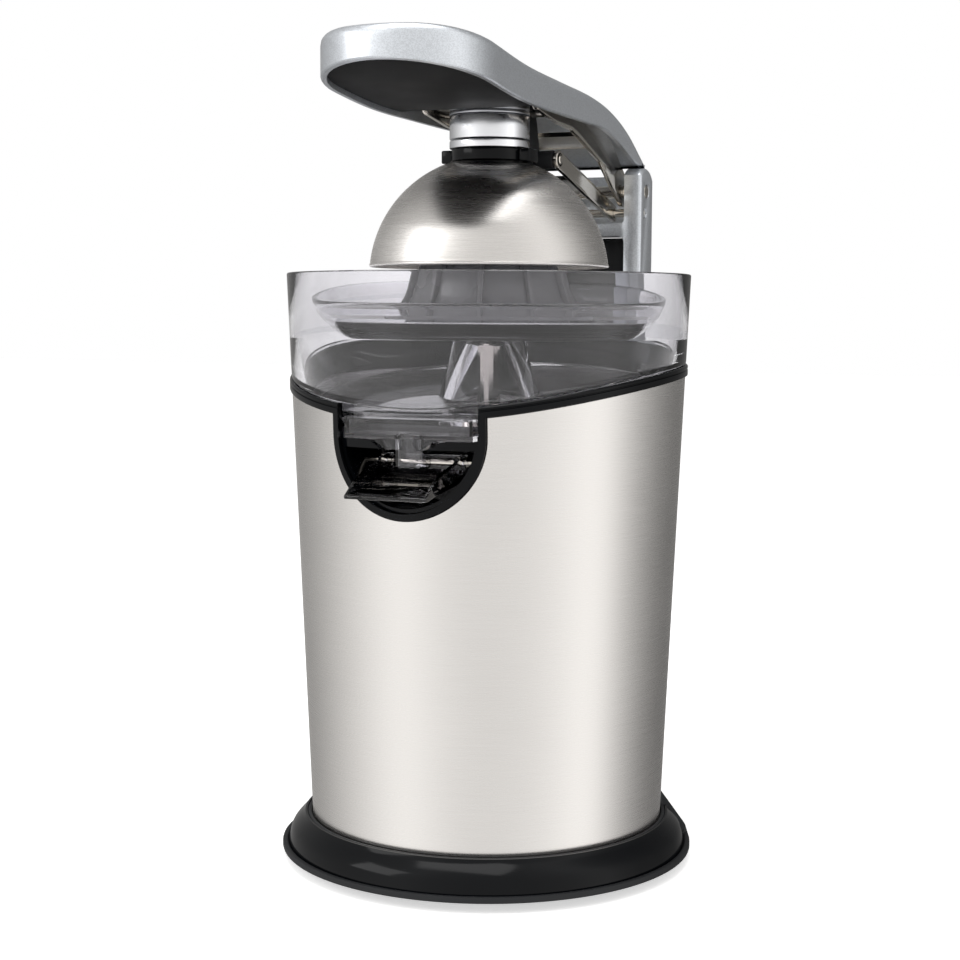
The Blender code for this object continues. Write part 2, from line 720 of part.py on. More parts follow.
def make_drive():
    shaft = (0, 0, SHAFT_BOTTOM)
    cylinder("drive_shaft", SHAFT_RADIUS, shaft, (0, 0, SHAFT_TOP), "polished_steel")
    run = SHAFT_RADIUS + RUN
    bush = [
        (bush_outer(), DECK_TOP),
        (bush_outer(), DECK_TOP - DECK_THICK),
        (run, DECK_TOP - DECK_THICK),
        (run, DECK_TOP),
    ]
    turned("shaft_bushing", bush, "bronze", FINE_STEPS)
    seal_top = DISH_BOTTOM - 2.0 * MM
    lip = HUB_BORE - GAP
    seal = [(lip, seal_top), (lip, seal_top - 2.5 * MM), (run, seal_top - 2.5 * MM), (run, seal_top)]
    turned("shaft_seal", seal, "rubber", FINE_STEPS)
    collar_top = DECK_TOP - DECK_THICK - RUN
    collar_low = collar_top - 2.0 * MM
    flange = 14.0 * MM
    collar = [(flange, collar_top), (flange, collar_low), (run, collar_low), (run, collar_top)]
    turned("thrust_collar", collar, "bronze", FINE_STEPS)
    make_spring(GEARBOX_TOP + GAP, collar_low - GAP)
    make_switch(collar_low)

    wheel_low = GEARBOX_TOP - 14.5 * MM
    wheel = gear("main_gear", WHEEL_TEETH, 90, wheel_low, wheel_low + 6 * MM, "gear_plastic")
    bore = cylinder("gear bore", SHAFT_RADIUS + GAP, (0, 0, 0.1), (0, 0, 0.2), None)
    cut(wheel, bore)
    half_tooth = 180 / PINION_TEETH
    low = GEARBOX_BOTTOM + 6 * MM
    idler = gear("idler_gear", WHEEL_TEETH, 270, low, low + 5.5 * MM, "gear_plastic", GEAR_SPACING)
    turn = 270 + half_tooth
    top = wheel_low + 8.5 * MM
    small = gear("idler pinion", PINION_TEETH, turn, low + 5 * MM, top, None, GEAR_SPACING)
    join(idler, small)
    axle = AXLE_RADIUS
    cut(idler, cylinder("idler bore", axle + RUN, (0, GEAR_SPACING, 0.1), (0, GEAR_SPACING, 0.2), None))
    bottom = (0, GEAR_SPACING, GEARBOX_BOTTOM + GAP)
    cylinder("idler_axle", axle, bottom, (0, GEAR_SPACING, GEARBOX_TOP - GAP), "polished_steel")
    pinion = gear("motor_pinion", PINION_TEETH, 90 + half_tooth, low - 1 * MM, low + 5.8 * MM, "bronze")
    rotor_shaft = 2.5 * MM
    cut(pinion, cylinder("pinion bore", rotor_shaft + GAP, (0, 0, 0.1), (0, 0, 0.2), None))

    floor = GEARBOX_BOTTOM + 3 * MM
    inner = GEAR_MODULE * WHEEL_TEETH / 2 + 2.4 * MM
    cover = plate("gearbox_cover", capsule_y(inner + 2 * MM), "XY", floor + GAP, GEARBOX_TOP, "matte_black")
    cut(cover, plate("gear space", capsule_y(inner), "XY", 0.1, GEARBOX_TOP - 2 * MM, None))
    cut(cover, cylinder("shaft way", SHAFT_RADIUS + RUN + GAP, (0, 0, 0.15), (0, 0, 0.2), None))
    cut(cover, cylinder("axle way", axle + GAP, (0, GEAR_SPACING, 0.15), (0, GEAR_SPACING, 0.2), None))
    use_manifold(cover)

    ends = [(0, 0, GEARBOX_BOTTOM), (0, 0, floor)]
    frame = cylinder("chassis_frame", CHASSIS_RADIUS, *ends, "matte_black", steps=STEPS)
    frame.location.y = GEAR_SPACING / 2
    under = BASE_BOTTOM + PLATE_THICK + 2 * GAP
    deck_low = DECK_TOP - DECK_THICK
    for x in (-47 * MM, 47 * MM):
        for y in (4 * MM, 36 * MM):
            pillar = cylinder("pillar", 4 * MM, (x, y, under), (x, y, deck_low - GAP), None, steps=12)
            join(frame, pillar)
    cut(frame, cylinder("rotor way", 5 * MM, (0, 0, 0.1), (0, 0, 0.2), None))
    cut(frame, cylinder("axle seat", axle + GAP, (0, GEAR_SPACING, 0.1), (0, GEAR_SPACING, 0.2), None))
    make_motor(rotor_shaft, low + 6 * MM)


def capsule_y(radius):
    return arc(0, 0, radius, 180, 360, 17) + arc(0, GEAR_SPACING, radius, 0, 180, 17)


def make_motor(rotor_shaft, shaft_end):
    top = GEARBOX_BOTTOM - GAP
    wall = 1.5 * MM
    inner = MOTOR_RADIUS - wall
    can = [
        (MOTOR_RADIUS, top),
        (MOTOR_RADIUS, MOTOR_BOTTOM),
        (inner, MOTOR_BOTTOM),
        (inner, top - wall),
        (5 * MM, top - wall),
        (5 * MM, top),
    ]
    turned("motor_can", can, "steel", 36)
    cap_top = MOTOR_BOTTOM - GAP
    bush = rotor_shaft + GAP
    cap_low = cap_top - 3 * MM
    cap = [(MOTOR_RADIUS, cap_top), (MOTOR_RADIUS, cap_low), (bush, cap_low), (bush, cap_top)]
    turned("motor_end_cap", cap, "matte_black", 36)
    low = MOTOR_BOTTOM + 17 * MM
    high = low + 43 * MM
    bore = 21.5 * MM
    stator = [(inner - GAP, high), (inner - GAP, low), (bore, low), (bore, high)]
    turned("motor_stator", stator, "copper", 36)
    core = bore - 1 * MM
    rotor = [
        (0, shaft_end),
        (rotor_shaft, shaft_end),
        (rotor_shaft, high - 2 * MM),
        (core, high - 2 * MM),
        (core, low + 2 * MM),
        (8 * MM, low + 2 * MM),
        (8 * MM, low - 11 * MM),
        (rotor_shaft, low - 11 * MM),
        (rotor_shaft, cap_top - 3 * MM),
        (0, cap_top - 3 * MM),
    ]
    turned("motor_rotor", rotor, "copper", FINE_STEPS)


def make_spring(low, high):
    """A coil round the shaft, drawn as one round wire."""
    wire = 0.6 * MM
    radius = SHAFT_RADIUS + 4 * MM
    turns = 3
    steps = 12
    rise = high - low - 2 * wire
    curve = bpy.data.curves.new("return_spring", "CURVE")
    curve.dimensions = "3D"
    curve.bevel_depth = wire
    curve.bevel_resolution = 1
    curve.use_fill_caps = True
    spline = curve.splines.new("POLY")
    count = turns * steps + 1
    spline.points.add(count - 1)
    for i, point in enumerate(spline.points):
        angle = 2 * PI * i / steps
        height = low + wire + rise * i / (count - 1)
        point.co = (radius * math.cos(angle), radius * math.sin(angle), height, 1)
    spring = bpy.data.objects.new("return_spring", curve)
    PARTS.objects.link(spring)
    curve.materials.append(finish("polished_steel"))


def make_switch(collar_low):
    low = GEARBOX_TOP + GAP
    high = low + 5.5 * MM
    body = block("microswitch", (10.6 * MM, -8 * MM, low), (17 * MM, 8 * MM, high), "matte_black")
    x = 12.6 * MM
    pin = 1.2 * MM
    tip = collar_low - GAP
    cut(body, cylinder("plunger way", pin + GAP, (x, 0, low + 1 * MM), (x, 0, 0.2), None, steps=12))
    foot = low + 1 * MM + PRESS_TRAVEL + GAP
    cylinder("switch_plunger", pin, (x, 0, foot), (x, 0, tip), "gear_plastic", steps=12)


def make_trough():
    y, z = TROUGH_PIVOT

    def place(points):
        return [(y + u * MM, z + v * MM) for u, v in points]

    side = place(
        [(-3, 3), (2.5, 3), (3.2, -2.5), (1, -6), (-7, -8.5), (-21, -10.3), (-36, -13)]
        + [(-36.6, -11.7), (-29, -6.5)]
        + [(-21, -3), (-9, 0.1)]
    )
    trough = plate("drip_trough", side, "YZ", -TROUGH_HALF, TROUGH_HALF, "smoke")
    channel = place([(1.5, 12), (1.5, -3), (-1, -4.7), (-8, -6.7), (-21.5, -8.5), (-38, -11.3), (-38, 12)])
    inside = TROUGH_HALF - TROUGH_WALL
    cut(trough, plate("channel", channel, "YZ", -inside, inside, None))
    reach = OPENING_HALF
    cut(trough, cylinder("pivot hole", TROUGH_PIN + GAP, (-reach, y, z), (reach, y, z), None, "X"))


def make_press():
    hole = 10.0 * MM
    crown = math.degrees(math.asin((DOME_FLAT - DOME_CENTRE) / DOME_RADIUS))
    edge = math.degrees(math.asin((DOME_BOTTOM - DOME_CENTRE) / DOME_RADIUS))
    outside = arc(0, DOME_CENTRE, DOME_RADIUS, crown, edge, 9)
    inner = DOME_RADIUS - DOME_WALL
    inner_crown = math.degrees(math.asin((DOME_FLAT - DOME_WALL - DOME_CENTRE) / inner))
    inside = arc(0, DOME_CENTRE, inner, edge, inner_crown, 7)
    dome = [(hole, DOME_FLAT)] + outside + inside + [(hole, DOME_FLAT - DOME_WALL)]
    turned("press_dome", dome, "steel")

    stem = hole - GAP
    seat = DOME_FLAT + GAP
    stem_low = DOME_FLAT - 8 * MM
    neck = [(0, NECK_TOP), (NECK_RADIUS, NECK_TOP), (NECK_RADIUS, seat)]
    neck += [(stem, seat), (stem, stem_low), (0, stem_low)]
    body = turned("press_neck", neck, "gloss_black", 36)
    for side in (-1, 1):
        low = (side * 18 * MM - 3 * MM, -5 * MM, DOME_FLAT - 0.2 * MM)
        high = (side * 18 * MM + 3 * MM, 5 * MM, NECK_TOP)
        join(body, block("lug", low, high, None))
    cut(body, turned("lug clearance", dome_clearance(), None))
    nut_top = DOME_FLAT - DOME_WALL - GAP
    nut = 15 * MM
    ring = [(nut, nut_top), (nut, nut_top - 4 * MM), (hole, nut_top - 4 * MM), (hole, nut_top)]
    turned("dome_retainer", ring, "matte_black", FINE_STEPS)

    core_low = NECK_TOP + GAP
    light = [core_low, core_low + 3.3 * MM]
    main = [light[1] + 2 * GAP, light[1] + 10.6 * MM]
    upper = [main[1] + GAP, COLLAR_TOP]
    notch = block("arm way", (-11.5 * MM, 0, 0.3), (11.5 * MM, 0.03, 0.34), None)
    for name, (low, high) in (
        ("collar_light_ring", light),
        ("collar_main_ring", main),
        ("collar_upper_ring", upper),
    ):
        bore = COLLAR_CORE + GAP
        section = [(COLLAR_RADIUS, high), (COLLAR_RADIUS, low), (bore, low), (bore, high)]
        cut(turned(name, section, "satin_metal"), notch)
    core = (0, 0, core_low)
    arm = plate("carrier_arm", carrier_outline(), "YZ", -11 * MM, 11 * MM, "matte_black")
    join(arm, cylinder("core", COLLAR_CORE, core, (0, 0, COLLAR_TOP - GAP), None))
    y, z = PIVOT_OPEN
    reach = LINK_OUT - LINK_PLATE - 0.6 * MM
    join(arm, cylinder("boss", 4 * MM, (-reach, y, z), (reach, y, z), None, "X"))
    for name, (y, z), half in (
        ("carrier_pin", PIVOT_CARRIER, FRAME_OUT + 0.6 * MM),
        ("link_pin_front", PIVOT_OPEN, LINK_OUT + 0.6 * MM),
    ):
        cylinder(name, SMALL_PIN, (-half, y, z), (half, y, z), "polished_steel", "X", 16)
        cut(arm, cylinder(name + " hole", SMALL_PIN + GAP, (-half, y, z), (half, y, z), None, "X"))


def dome_clearance():
    """A ball just larger than the dome, up to the neck."""
    top = DOME_FLAT + GAP
    crown = math.degrees(math.asin((DOME_FLAT - DOME_CENTRE) / DOME_RADIUS))
    ball = arc(0, DOME_CENTRE, DOME_RADIUS + GAP, crown, 40, 8)
    return [(0, top)] + ball + [(0, ball[-1][1])]


def carrier_outline():
    """Side view of the arm that runs back from the collar to both of its pivots."""
    low = NECK_TOP + 2 * GAP
    y, z = PIVOT_OPEN
    behind_neck = NECK_RADIUS + 1.7 * MM
    return [
        (1 * MM, COLLAR_TOP - 2 * GAP),
        (PIVOT_CARRIER[0] + 1 * MM, COLLAR_TOP - 2 * GAP),
        (PIVOT_CARRIER[0] + 6 * MM, PIVOT_CARRIER[1] + 1.5 * MM),
        (y + 5 * MM, z + 3 * MM),
        (y + 4 * MM, z - 3 * MM),
        (y - 3 * MM, z - 3.6 * MM),
        (behind_neck, z - 1.5 * MM),
        (behind_neck, low),
        (1 * MM, low),
    ]


def scaled(points):
    """Millimetre pairs as metres."""
    return [(u * MM, v * MM) for u, v in points]


def handle_top():
    """Top edge of the lever in side view, from nose to rear, as (y, z)."""
    nose = HANDLE_NOSE - HANDLE_HALF
    points = [(-108, 347), (-98, 346.6), (-75, 343.4), (-40, 338.6), (0, 336), (28, 334.4)]
    points += [(50, 331.5), (66, 327.4), (80, 322), (92, 315.6), (100.5, 310.8)]
    return [(nose, 345.5 * MM)] + scaled(points)


def handle_lower_edge():
    """Lower edge of the lever's flanks, from rear to nose."""
    nose = HANDLE_NOSE - HANDLE_HALF
    points = [(100.5, 308.4), (90, 308.6), (78, 312.6), (60, 318), (44, 321), (28, 321.4), (0, 322)]
    points += [(-40, 323.2), (-75, 327), (-100, 331.6)]
    return scaled(points) + [(nose, 334 * MM)]


def lower_edge_at(y):
    """Height of the flanks' lower edge at a distance along the lever."""
    points = sorted(handle_lower_edge())
    for (a, low), (b, high) in zip(points, points[1:]):
        if a <= y <= b:
            return low + (high - low) * (y - a) / (b - a)
    return points[-1][1]


def handle_plan(inset, rear):
    nose = arc(0, HANDLE_NOSE, HANDLE_HALF - inset, 180, 360, 25)
    return nose + [(HANDLE_HALF - inset, rear), (-HANDLE_HALF + inset, rear)]


def make_handle():
    half = HANDLE_HALF
    shell = plate("handle_cover", handle_top() + handle_lower_edge(), "YZ", -half, half, "silver_paint")
    keep(shell, plate("handle plan", handle_plan(0, 0.12), "XY", 0.28, 0.36, None))
    below = [(y, z - HANDLE_WALL) for y, z in handle_top()]
    below = below + [(0.13, below[-1][1] - 12 * MM), (0.13, 0.29), (-0.12, 0.29)]
    space = plate("handle space", below, "YZ", -half, half, None)
    keep(space, plate("space plan", handle_plan(HANDLE_WALL, 0.14), "XY", 0.28, 0.36, None))
    cut(shell, space)

    front = HANDLE_NOSE - HANDLE_HALF
    rear = -20 * MM
    places = [front, -0.1, -0.075, -0.055, -0.04, rear]
    recess = 2.0 * MM
    thick = 1.8 * MM
    low = [(y, lower_edge_at(y) + recess) for y in places]
    high = [(y, lower_edge_at(y) + recess + thick) for y in reversed(places)]
    under = plate("handle_underside", low + high, "YZ", -half, half, "matte_black")
    keep(under, plate("underside plan", handle_plan(HANDLE_WALL + GAP, rear), "XY", 0.28, 0.36, None))
    make_lever_frame()


def make_lever_frame():
    """The steel channel inside the lever, which turns on the post and carries the press."""
    y, z = PIVOT_HANDLE
    eye = 7.0 * MM
    above = [(-60, 331), (-60, 334.5), (0, 333), (28, 331.2), (50, 328), (66, 323.6), (80, 318), (92, 309)]
    below = [(82, 297.5), (66, 308), (50, 313), (30, 319), (12, 320.5), (-10, 324), (-18, 329)]
    side = scaled(above) + arc(y, z, eye, 50, -130, 9) + scaled(below)
    frame = plate("lever_frame", side, "YZ", FRAME_OUT - FRAME_PLATE, FRAME_OUT, "polished_steel")
    join(frame, plate("frame left", side, "YZ", -FRAME_OUT, FRAME_PLATE - FRAME_OUT, None))
    inner = FRAME_OUT - 0.5 * FRAME_PLATE
    for corners in (
        [(-58, 332), (-58, 333.8), (-24, 333), (-24, 331.2)],
        [(56, 319), (56, 321), (68, 316.5), (68, 314.5)],
    ):
        join(frame, plate("web", scaled(corners), "YZ", -inner, inner, None))
    for (y, z), pin in ((PIVOT_HANDLE, HINGE_PIN), (PIVOT_CARRIER, SMALL_PIN)):
        cut(frame, cylinder("frame hole", pin + GAP, (-0.04, y, z), (0.04, y, z), None, "X"))


def link_outline(radius):
    (y0, z0), (y1, z1) = PIVOT_OPEN, PIVOT_LINK
    lean = math.degrees(math.atan2(z1 - z0, y1 - y0))
    return arc(y1, z1, radius, lean - 90, lean + 90, 9) + arc(y0, z0, radius, lean + 90, lean + 270, 9)


def along_link(distance, offset):
    (y0, z0), (y1, z1) = PIVOT_OPEN, PIVOT_LINK
    length = math.dist(PIVOT_OPEN, PIVOT_LINK)
    u, v = (y1 - y0) / length, (z1 - z0) / length
    return (y0 + u * distance - v * offset, z0 + v * distance + u * offset)


def make_link():
    """The lower link, which keeps the press upright while the lever rises."""
    radius = 4.0 * MM
    link = plate("lower_link", link_outline(radius), "YZ", LINK_OUT - LINK_PLATE, LINK_OUT, "polished_steel")
    other = plate("link left", link_outline(radius), "YZ", -LINK_OUT, LINK_PLATE - LINK_OUT, None)
    inner = LINK_OUT - 0.5 * LINK_PLATE
    corners = [along_link(d * MM, h * MM) for d, h in ((30, 1.6), (50, 1.6), (50, 3.6), (30, 3.6))]
    join(link, other, plate("link web", corners, "YZ", -inner, inner, None))
    for (y, z), clearance in ((PIVOT_OPEN, 2 * RUN), (PIVOT_LINK, GAP)):
        cut(link, cylinder("link hole", SMALL_PIN + clearance, (-0.04, y, z), (0.04, y, z), None, "X"))
    # The raised link meets the hinge pin, so its upper edge has a notch for the pin there.
    rise = math.atan2(PIVOT_HANDLE[1] - PIVOT_LINK[1], PIVOT_HANDLE[0] - PIVOT_LINK[0]) + LINK_OPEN
    reach = math.dist(PIVOT_HANDLE, PIVOT_LINK)
    y = PIVOT_LINK[0] + reach * math.cos(rise)
    z = PIVOT_LINK[1] + reach * math.sin(rise)
    cut(link, cylinder("link notch", HINGE_PIN + RUN, (-0.04, y, z), (0.04, y, z), None, "X"))


def post_back(z):
    """Rear face of the post, which leans with the conical body."""
    low = HUMP_TOP + GAP
    share = min(1.0, (z - low) / (POST_STRAIGHT - low))
    foot = body_radius(low) + 15 * MM
    return foot + (POST_BACK - foot) * share


def make_post():
    y, z = PIVOT_HANDLE
    bottom = HUMP_TOP + GAP
    shoulder = math.degrees(math.acos((POST_BACK - y) / KNUCKLE))
    front = math.degrees(math.acos((POST_FRONT - y) / KNUCKLE))
    inside = 60 * MM
    side = [(inside, bottom), (post_back(bottom), bottom), (POST_BACK, POST_STRAIGHT)]
    side += arc(y, z, KNUCKLE, shoulder, front, 11)
    side += [(POST_FRONT, POST_SHELF), (inside, POST_SHELF)]
    post = plate("post", side, "YZ", -POST_HALF, POST_HALF, "silver_paint")
    cut(post, body_plug("post front", -2 * GAP, 0.0, 0.1855))
    cut(post, body_plug("trim clearance", -TRIM_PROUD - 2 * GAP, 0.185, 0.27))
    inner = POST_HALF - POST_WALL
    room = [
        (body_radius(ROOM_BOTTOM) + 5 * MM, ROOM_BOTTOM),
        (body_radius(POST_SHELF) + 6.5 * MM, POST_SHELF - 6 * MM),
        (POST_FRONT + 4 * MM, POST_STRAIGHT),
        (POST_FRONT + 4 * MM, CROSSBAR_LOW),
        (0.12, CROSSBAR_LOW),
        (0.12, ROOM_BOTTOM),
    ]
    cut(post, plate("post room", room, "YZ", -inner, inner, None))
    window = ((-WINDOW_HALF, 0.07, WINDOW_LOW), (WINDOW_HALF, POST_FRONT + 6 * MM, CROSSBAR_LOW))
    cut(post, block("post window", *window, None))
    bay_back = POST_BACK - 2 * MM
    cut(post, block("link bay", (-WINDOW_HALF, 0.07, CROSSBAR_HIGH), (WINDOW_HALF, bay_back, 0.32), None))
    wall = 2.2 * MM
    band = [ROOM_BOTTOM + GAP, POST_STRAIGHT, CROSSBAR_LOW - GAP]
    outer = [(post_back(z), z) for z in band]
    inner_face = [(post_back(z) - wall, z) for z in reversed(band)]
    reach = inner - GAP
    plate("post_rear_cover", outer + inner_face, "YZ", -reach, reach, "matte_black")
    for name, (y, z), pin, half in (
        ("hinge_pin", PIVOT_HANDLE, HINGE_PIN, POST_HALF - 0.1 * MM),
        ("link_pin_rear", PIVOT_LINK, SMALL_PIN, POST_HALF - 1 * MM),
    ):
        cylinder(name, pin, (-half, y, z), (half, y, z), "polished_steel", "X")
        cut(post, cylinder(name + " hole", pin + GAP, (-0.05, y, z), (0.05, y, z), None, "X"))


def hang(pivot, point, names):
    """Parents moving pieces to an empty that stands on their joint's axis, with the pieces left in place."""
    empty = bpy.data.objects.new(pivot, None)
    empty.location = point
    PARTS.objects.link(empty)
    bpy.context.view_layer.update()
    for name in names:
        piece = bpy.data.objects[name]
        piece.parent = empty
        piece.matrix_parent_inverse = empty.matrix_world.inverted()
    return empty


def hang_moving_pieces():
    swung = ["handle_cover", "handle_underside", "lever_frame", "carrier_pin"]
    lever = hang("lever pivot", (0, *PIVOT_HANDLE), swung)
    carried = ["carrier_arm", "press_neck", "press_dome", "dome_retainer", "link_pin_front"]
    carried += ["collar_light_ring", "collar_main_ring", "collar_upper_ring"]
    hang("press pivot", (0, *PIVOT_CARRIER), carried)
    bpy.data.objects["press pivot"].parent = lever
    bpy.data.objects["press pivot"].matrix_parent_inverse = lever.matrix_world.inverted()
    hang("link pivot", (0, *PIVOT_LINK), ["lower_link"])
    hang("trough pivot", (0, *TROUGH_PIVOT), ["drip_trough"])
    hang("press axis", (0, 0, SHAFT_BOTTOM), ["reamer_cone", "drive_shaft", "main_gear", "thrust_collar"])
    hang("idler axis", (0, GEAR_SPACING, GEARBOX_BOTTOM), ["idler_gear"])
    hang("motor axis", (0, 0, MOTOR_BOTTOM), ["motor_rotor", "motor_pinion"])
    hang("plunger way", (12.6 * MM, 0, GEARBOX_TOP), ["switch_plunger"])


def main():
    make_base()
    make_underside()
    make_body()
    make_recess()
    make_bowl()
    make_strainer()
    make_cone()
    make_drive()
    make_trough()
    make_press()
    make_handle()
    make_link()
    make_post()
    hang_moving_pieces()


clear_scene()
PARTS = new_collection("citrus_press_juicer")
CUTTERS = new_collection("cutters")
main()
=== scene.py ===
"""Looks of a citrus press juicer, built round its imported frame.

Lengths in the classes are millimetres. The origin is on the worktop under the press axis, and the
spout faces -Y.
"""

import logging
import math
from collections.abc import Callable, Sequence
from dataclasses import dataclass
from enum import Enum

import bmesh
import bpy
from mathutils import Matrix, Vector


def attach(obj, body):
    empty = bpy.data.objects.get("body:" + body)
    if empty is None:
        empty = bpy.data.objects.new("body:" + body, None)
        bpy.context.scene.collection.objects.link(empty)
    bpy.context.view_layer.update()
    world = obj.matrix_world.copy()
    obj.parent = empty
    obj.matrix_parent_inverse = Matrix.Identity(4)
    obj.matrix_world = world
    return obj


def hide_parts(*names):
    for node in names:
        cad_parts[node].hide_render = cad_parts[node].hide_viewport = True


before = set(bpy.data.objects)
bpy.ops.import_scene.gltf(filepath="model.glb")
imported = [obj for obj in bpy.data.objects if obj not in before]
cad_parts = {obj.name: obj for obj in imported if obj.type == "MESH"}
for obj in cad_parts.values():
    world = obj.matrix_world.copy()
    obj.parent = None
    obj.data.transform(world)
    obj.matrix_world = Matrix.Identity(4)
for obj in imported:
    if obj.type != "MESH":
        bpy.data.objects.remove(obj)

MM = 0.001
TAU = 2 * math.pi
Pair = tuple[float, float]
Section = Callable[[float], Sequence[Pair]]
log = logging.getLogger("citrus_press")


class Plane(Enum):
    """The plane that a flat outline is drawn in."""

    SIDE = "yz"
    FRONT = "xz"
    PLAN = "xy"


class Grain(Enum):
    """Which way the fine lines of a brushed metal run."""

    ROUND = "round the vertical axis"
    LONG = "along the lever"


# ---------------------------------------------------------------- shader groups


def new_group(name: str, inputs: dict[str, float], outputs: dict[str, str]) -> bpy.types.NodeTree:
    """Makes an empty shader group with a Vector input.

    Args:
        name: the group's name.
        inputs: named float inputs and their defaults.
        outputs: named outputs and their socket types.

    Returns:
        The group, with its input and output nodes in place.
    """
    group = bpy.data.node_groups.new(name, "ShaderNodeTree")
    group.interface.new_socket("Vector", in_out="INPUT", socket_type="NodeSocketVector")
    for label, value in inputs.items():
        socket = group.interface.new_socket(label, in_out="INPUT", socket_type="NodeSocketFloat")
        socket.default_value = value
    for label, kind in outputs.items():
        group.interface.new_socket(label, in_out="OUTPUT", socket_type=kind)
    group.nodes.new("NodeGroupInput")
    group.nodes.new("NodeGroupOutput")
    return group


class Wires:
    """A short hand for adding and joining the nodes of one tree."""

    def __init__(self, tree: bpy.types.NodeTree) -> None:
        """Works on the given tree."""
        self.tree = tree

    def add(self, kind: str, **settings: object) -> bpy.types.Node:
        """Adds a node.

        Args:
            kind: the node's type name.
            settings: attributes of the node.

        Returns:
            The new node.
        """
        node = self.tree.nodes.new(kind)
        for name, value in settings.items():
            setattr(node, name, value)
        return node

    def join(self, start: bpy.types.NodeSocket, end: bpy.types.NodeSocket) -> None:
        """Links two sockets."""
        self.tree.links.new(start, end)

    def math(self, operation: str, first: object, second: object = 0.0) -> bpy.types.NodeSocket:
        """Adds a math node.

        Args:
            operation: its operation.
            first: a socket or a number.
            second: a socket or a number.

        Returns:
            The result's socket.
        """
        node = self.add("ShaderNodeMath", operation=operation)
        for index, value in enumerate((first, second)):
            if isinstance(value, bpy.types.NodeSocket):
                self.join(value, node.inputs[index])
            else:
                node.inputs[index].default_value = value
        return node.outputs[0]

    def noise(self, vector: bpy.types.NodeSocket, scale: object, detail: float = 3.0) -> bpy.types.NodeSocket:
        """Adds a noise texture.

        Args:
            vector: where it is read.
            scale: a socket or a number.
            detail: how many octaves it has.

        Returns:
            The noise value's socket.
        """
        node = self.add("ShaderNodeTexNoise")
        node.inputs["Detail"].default_value = detail
        self.join(vector, node.inputs["Vector"])
        if isinstance(scale, bpy.types.NodeSocket):
            self.join(scale, node.inputs["Scale"])
        else:
            node.inputs["Scale"].default_value = scale
        return node.outputs["Fac"]

    def vector(self, x: object, y: object, z: object) -> bpy.types.NodeSocket:
        """Combines three sockets or numbers into one vector."""
        node = self.add("ShaderNodeCombineXYZ")
        for index, value in enumerate((x, y, z)):
            if isinstance(value, bpy.types.NodeSocket):
                self.join(value, node.inputs[index])
            else:
                node.inputs[index].default_value = value
        return node.outputs[0]


def ends(group: bpy.types.NodeTree) -> tuple[bpy.types.Node, bpy.types.Node]:
    """Finds a group's own nodes.

    Args:
        group: a node group.

    Returns:
        Its input node and its output node.
    """
    return group.nodes["Group Input"], group.nodes["Group Output"]


def round_brushing() -> bpy.types.NodeTree:
    """Fine lines that run round the vertical axis, with slow patches.

    Returns:
        A group with a Lines value and a Patch value.
    """
    outputs = {"Lines": "NodeSocketFloat", "Patch": "NodeSocketFloat"}
    group = new_group("Round brushing", {"Fineness": 9000.0, "Length": 6.0}, outputs)
    start, end = ends(group)
    wires = Wires(group)
    split = wires.add("ShaderNodeSeparateXYZ")
    wires.join(start.outputs["Vector"], split.inputs[0])
    radius = wires.math("SQRT", wires.math("ADD", wires.math("POWER", split.outputs[0], 2.0),
                                           wires.math("POWER", split.outputs[1], 2.0)))
    along = wires.math("MULTIPLY", start.outputs["Length"], 10.0)
    across = wires.math("MULTIPLY", wires.math("ADD", split.outputs[2], radius), start.outputs["Fineness"])
    place = wires.vector(wires.math("MULTIPLY", split.outputs[0], along),
                         wires.math("MULTIPLY", split.outputs[1], along), across)
    fine = wires.noise(place, 1.0, 2.0)
    wires.join(fine, end.inputs["Lines"])
    wires.join(wires.noise(start.outputs["Vector"], 22.0, 2.0), end.inputs["Patch"])
    return group


def long_brushing() -> bpy.types.NodeTree:
    """Fine lines that run front to back.

    Returns:
        A group with a Lines value and a Patch value.
    """
    outputs = {"Lines": "NodeSocketFloat", "Patch": "NodeSocketFloat"}
    group = new_group("Long brushing", {"Fineness": 6000.0, "Length": 60.0}, outputs)
    start, end = ends(group)
    wires = Wires(group)
    split = wires.add("ShaderNodeSeparateXYZ")
    wires.join(start.outputs["Vector"], split.inputs[0])
    place = wires.vector(wires.math("MULTIPLY", split.outputs[0], start.outputs["Fineness"]),
                         wires.math("MULTIPLY", split.outputs[1], start.outputs["Length"]),
                         wires.math("MULTIPLY", split.outputs[2], start.outputs["Fineness"]))
    wires.join(wires.noise(place, 1.0, 2.0), end.inputs["Lines"])
    wires.join(wires.noise(start.outputs["Vector"], 30.0, 2.0), end.inputs["Patch"])
    return group


def moulded_skin() -> bpy.types.NodeTree:
    """The slight unevenness of a moulded or painted skin, and its finest grain.

    Returns:
        A group with a Cloud value for tone and gloss, and a Grain value for bump.
    """
    outputs = {"Cloud": "NodeSocketFloat", "Grain": "NodeSocketFloat"}
    group = new_group("Moulded skin", {"Cloud size": 26.0, "Grain size": 2600.0}, outputs)
    start, end = ends(group)
    wires = Wires(group)
    spot = start.outputs["Vector"]
    wires.join(wires.noise(spot, start.outputs["Cloud size"], 4.0), end.inputs["Cloud"])
    wires.join(wires.noise(spot, start.outputs["Grain size"], 2.0), end.inputs["Grain"])
    return group


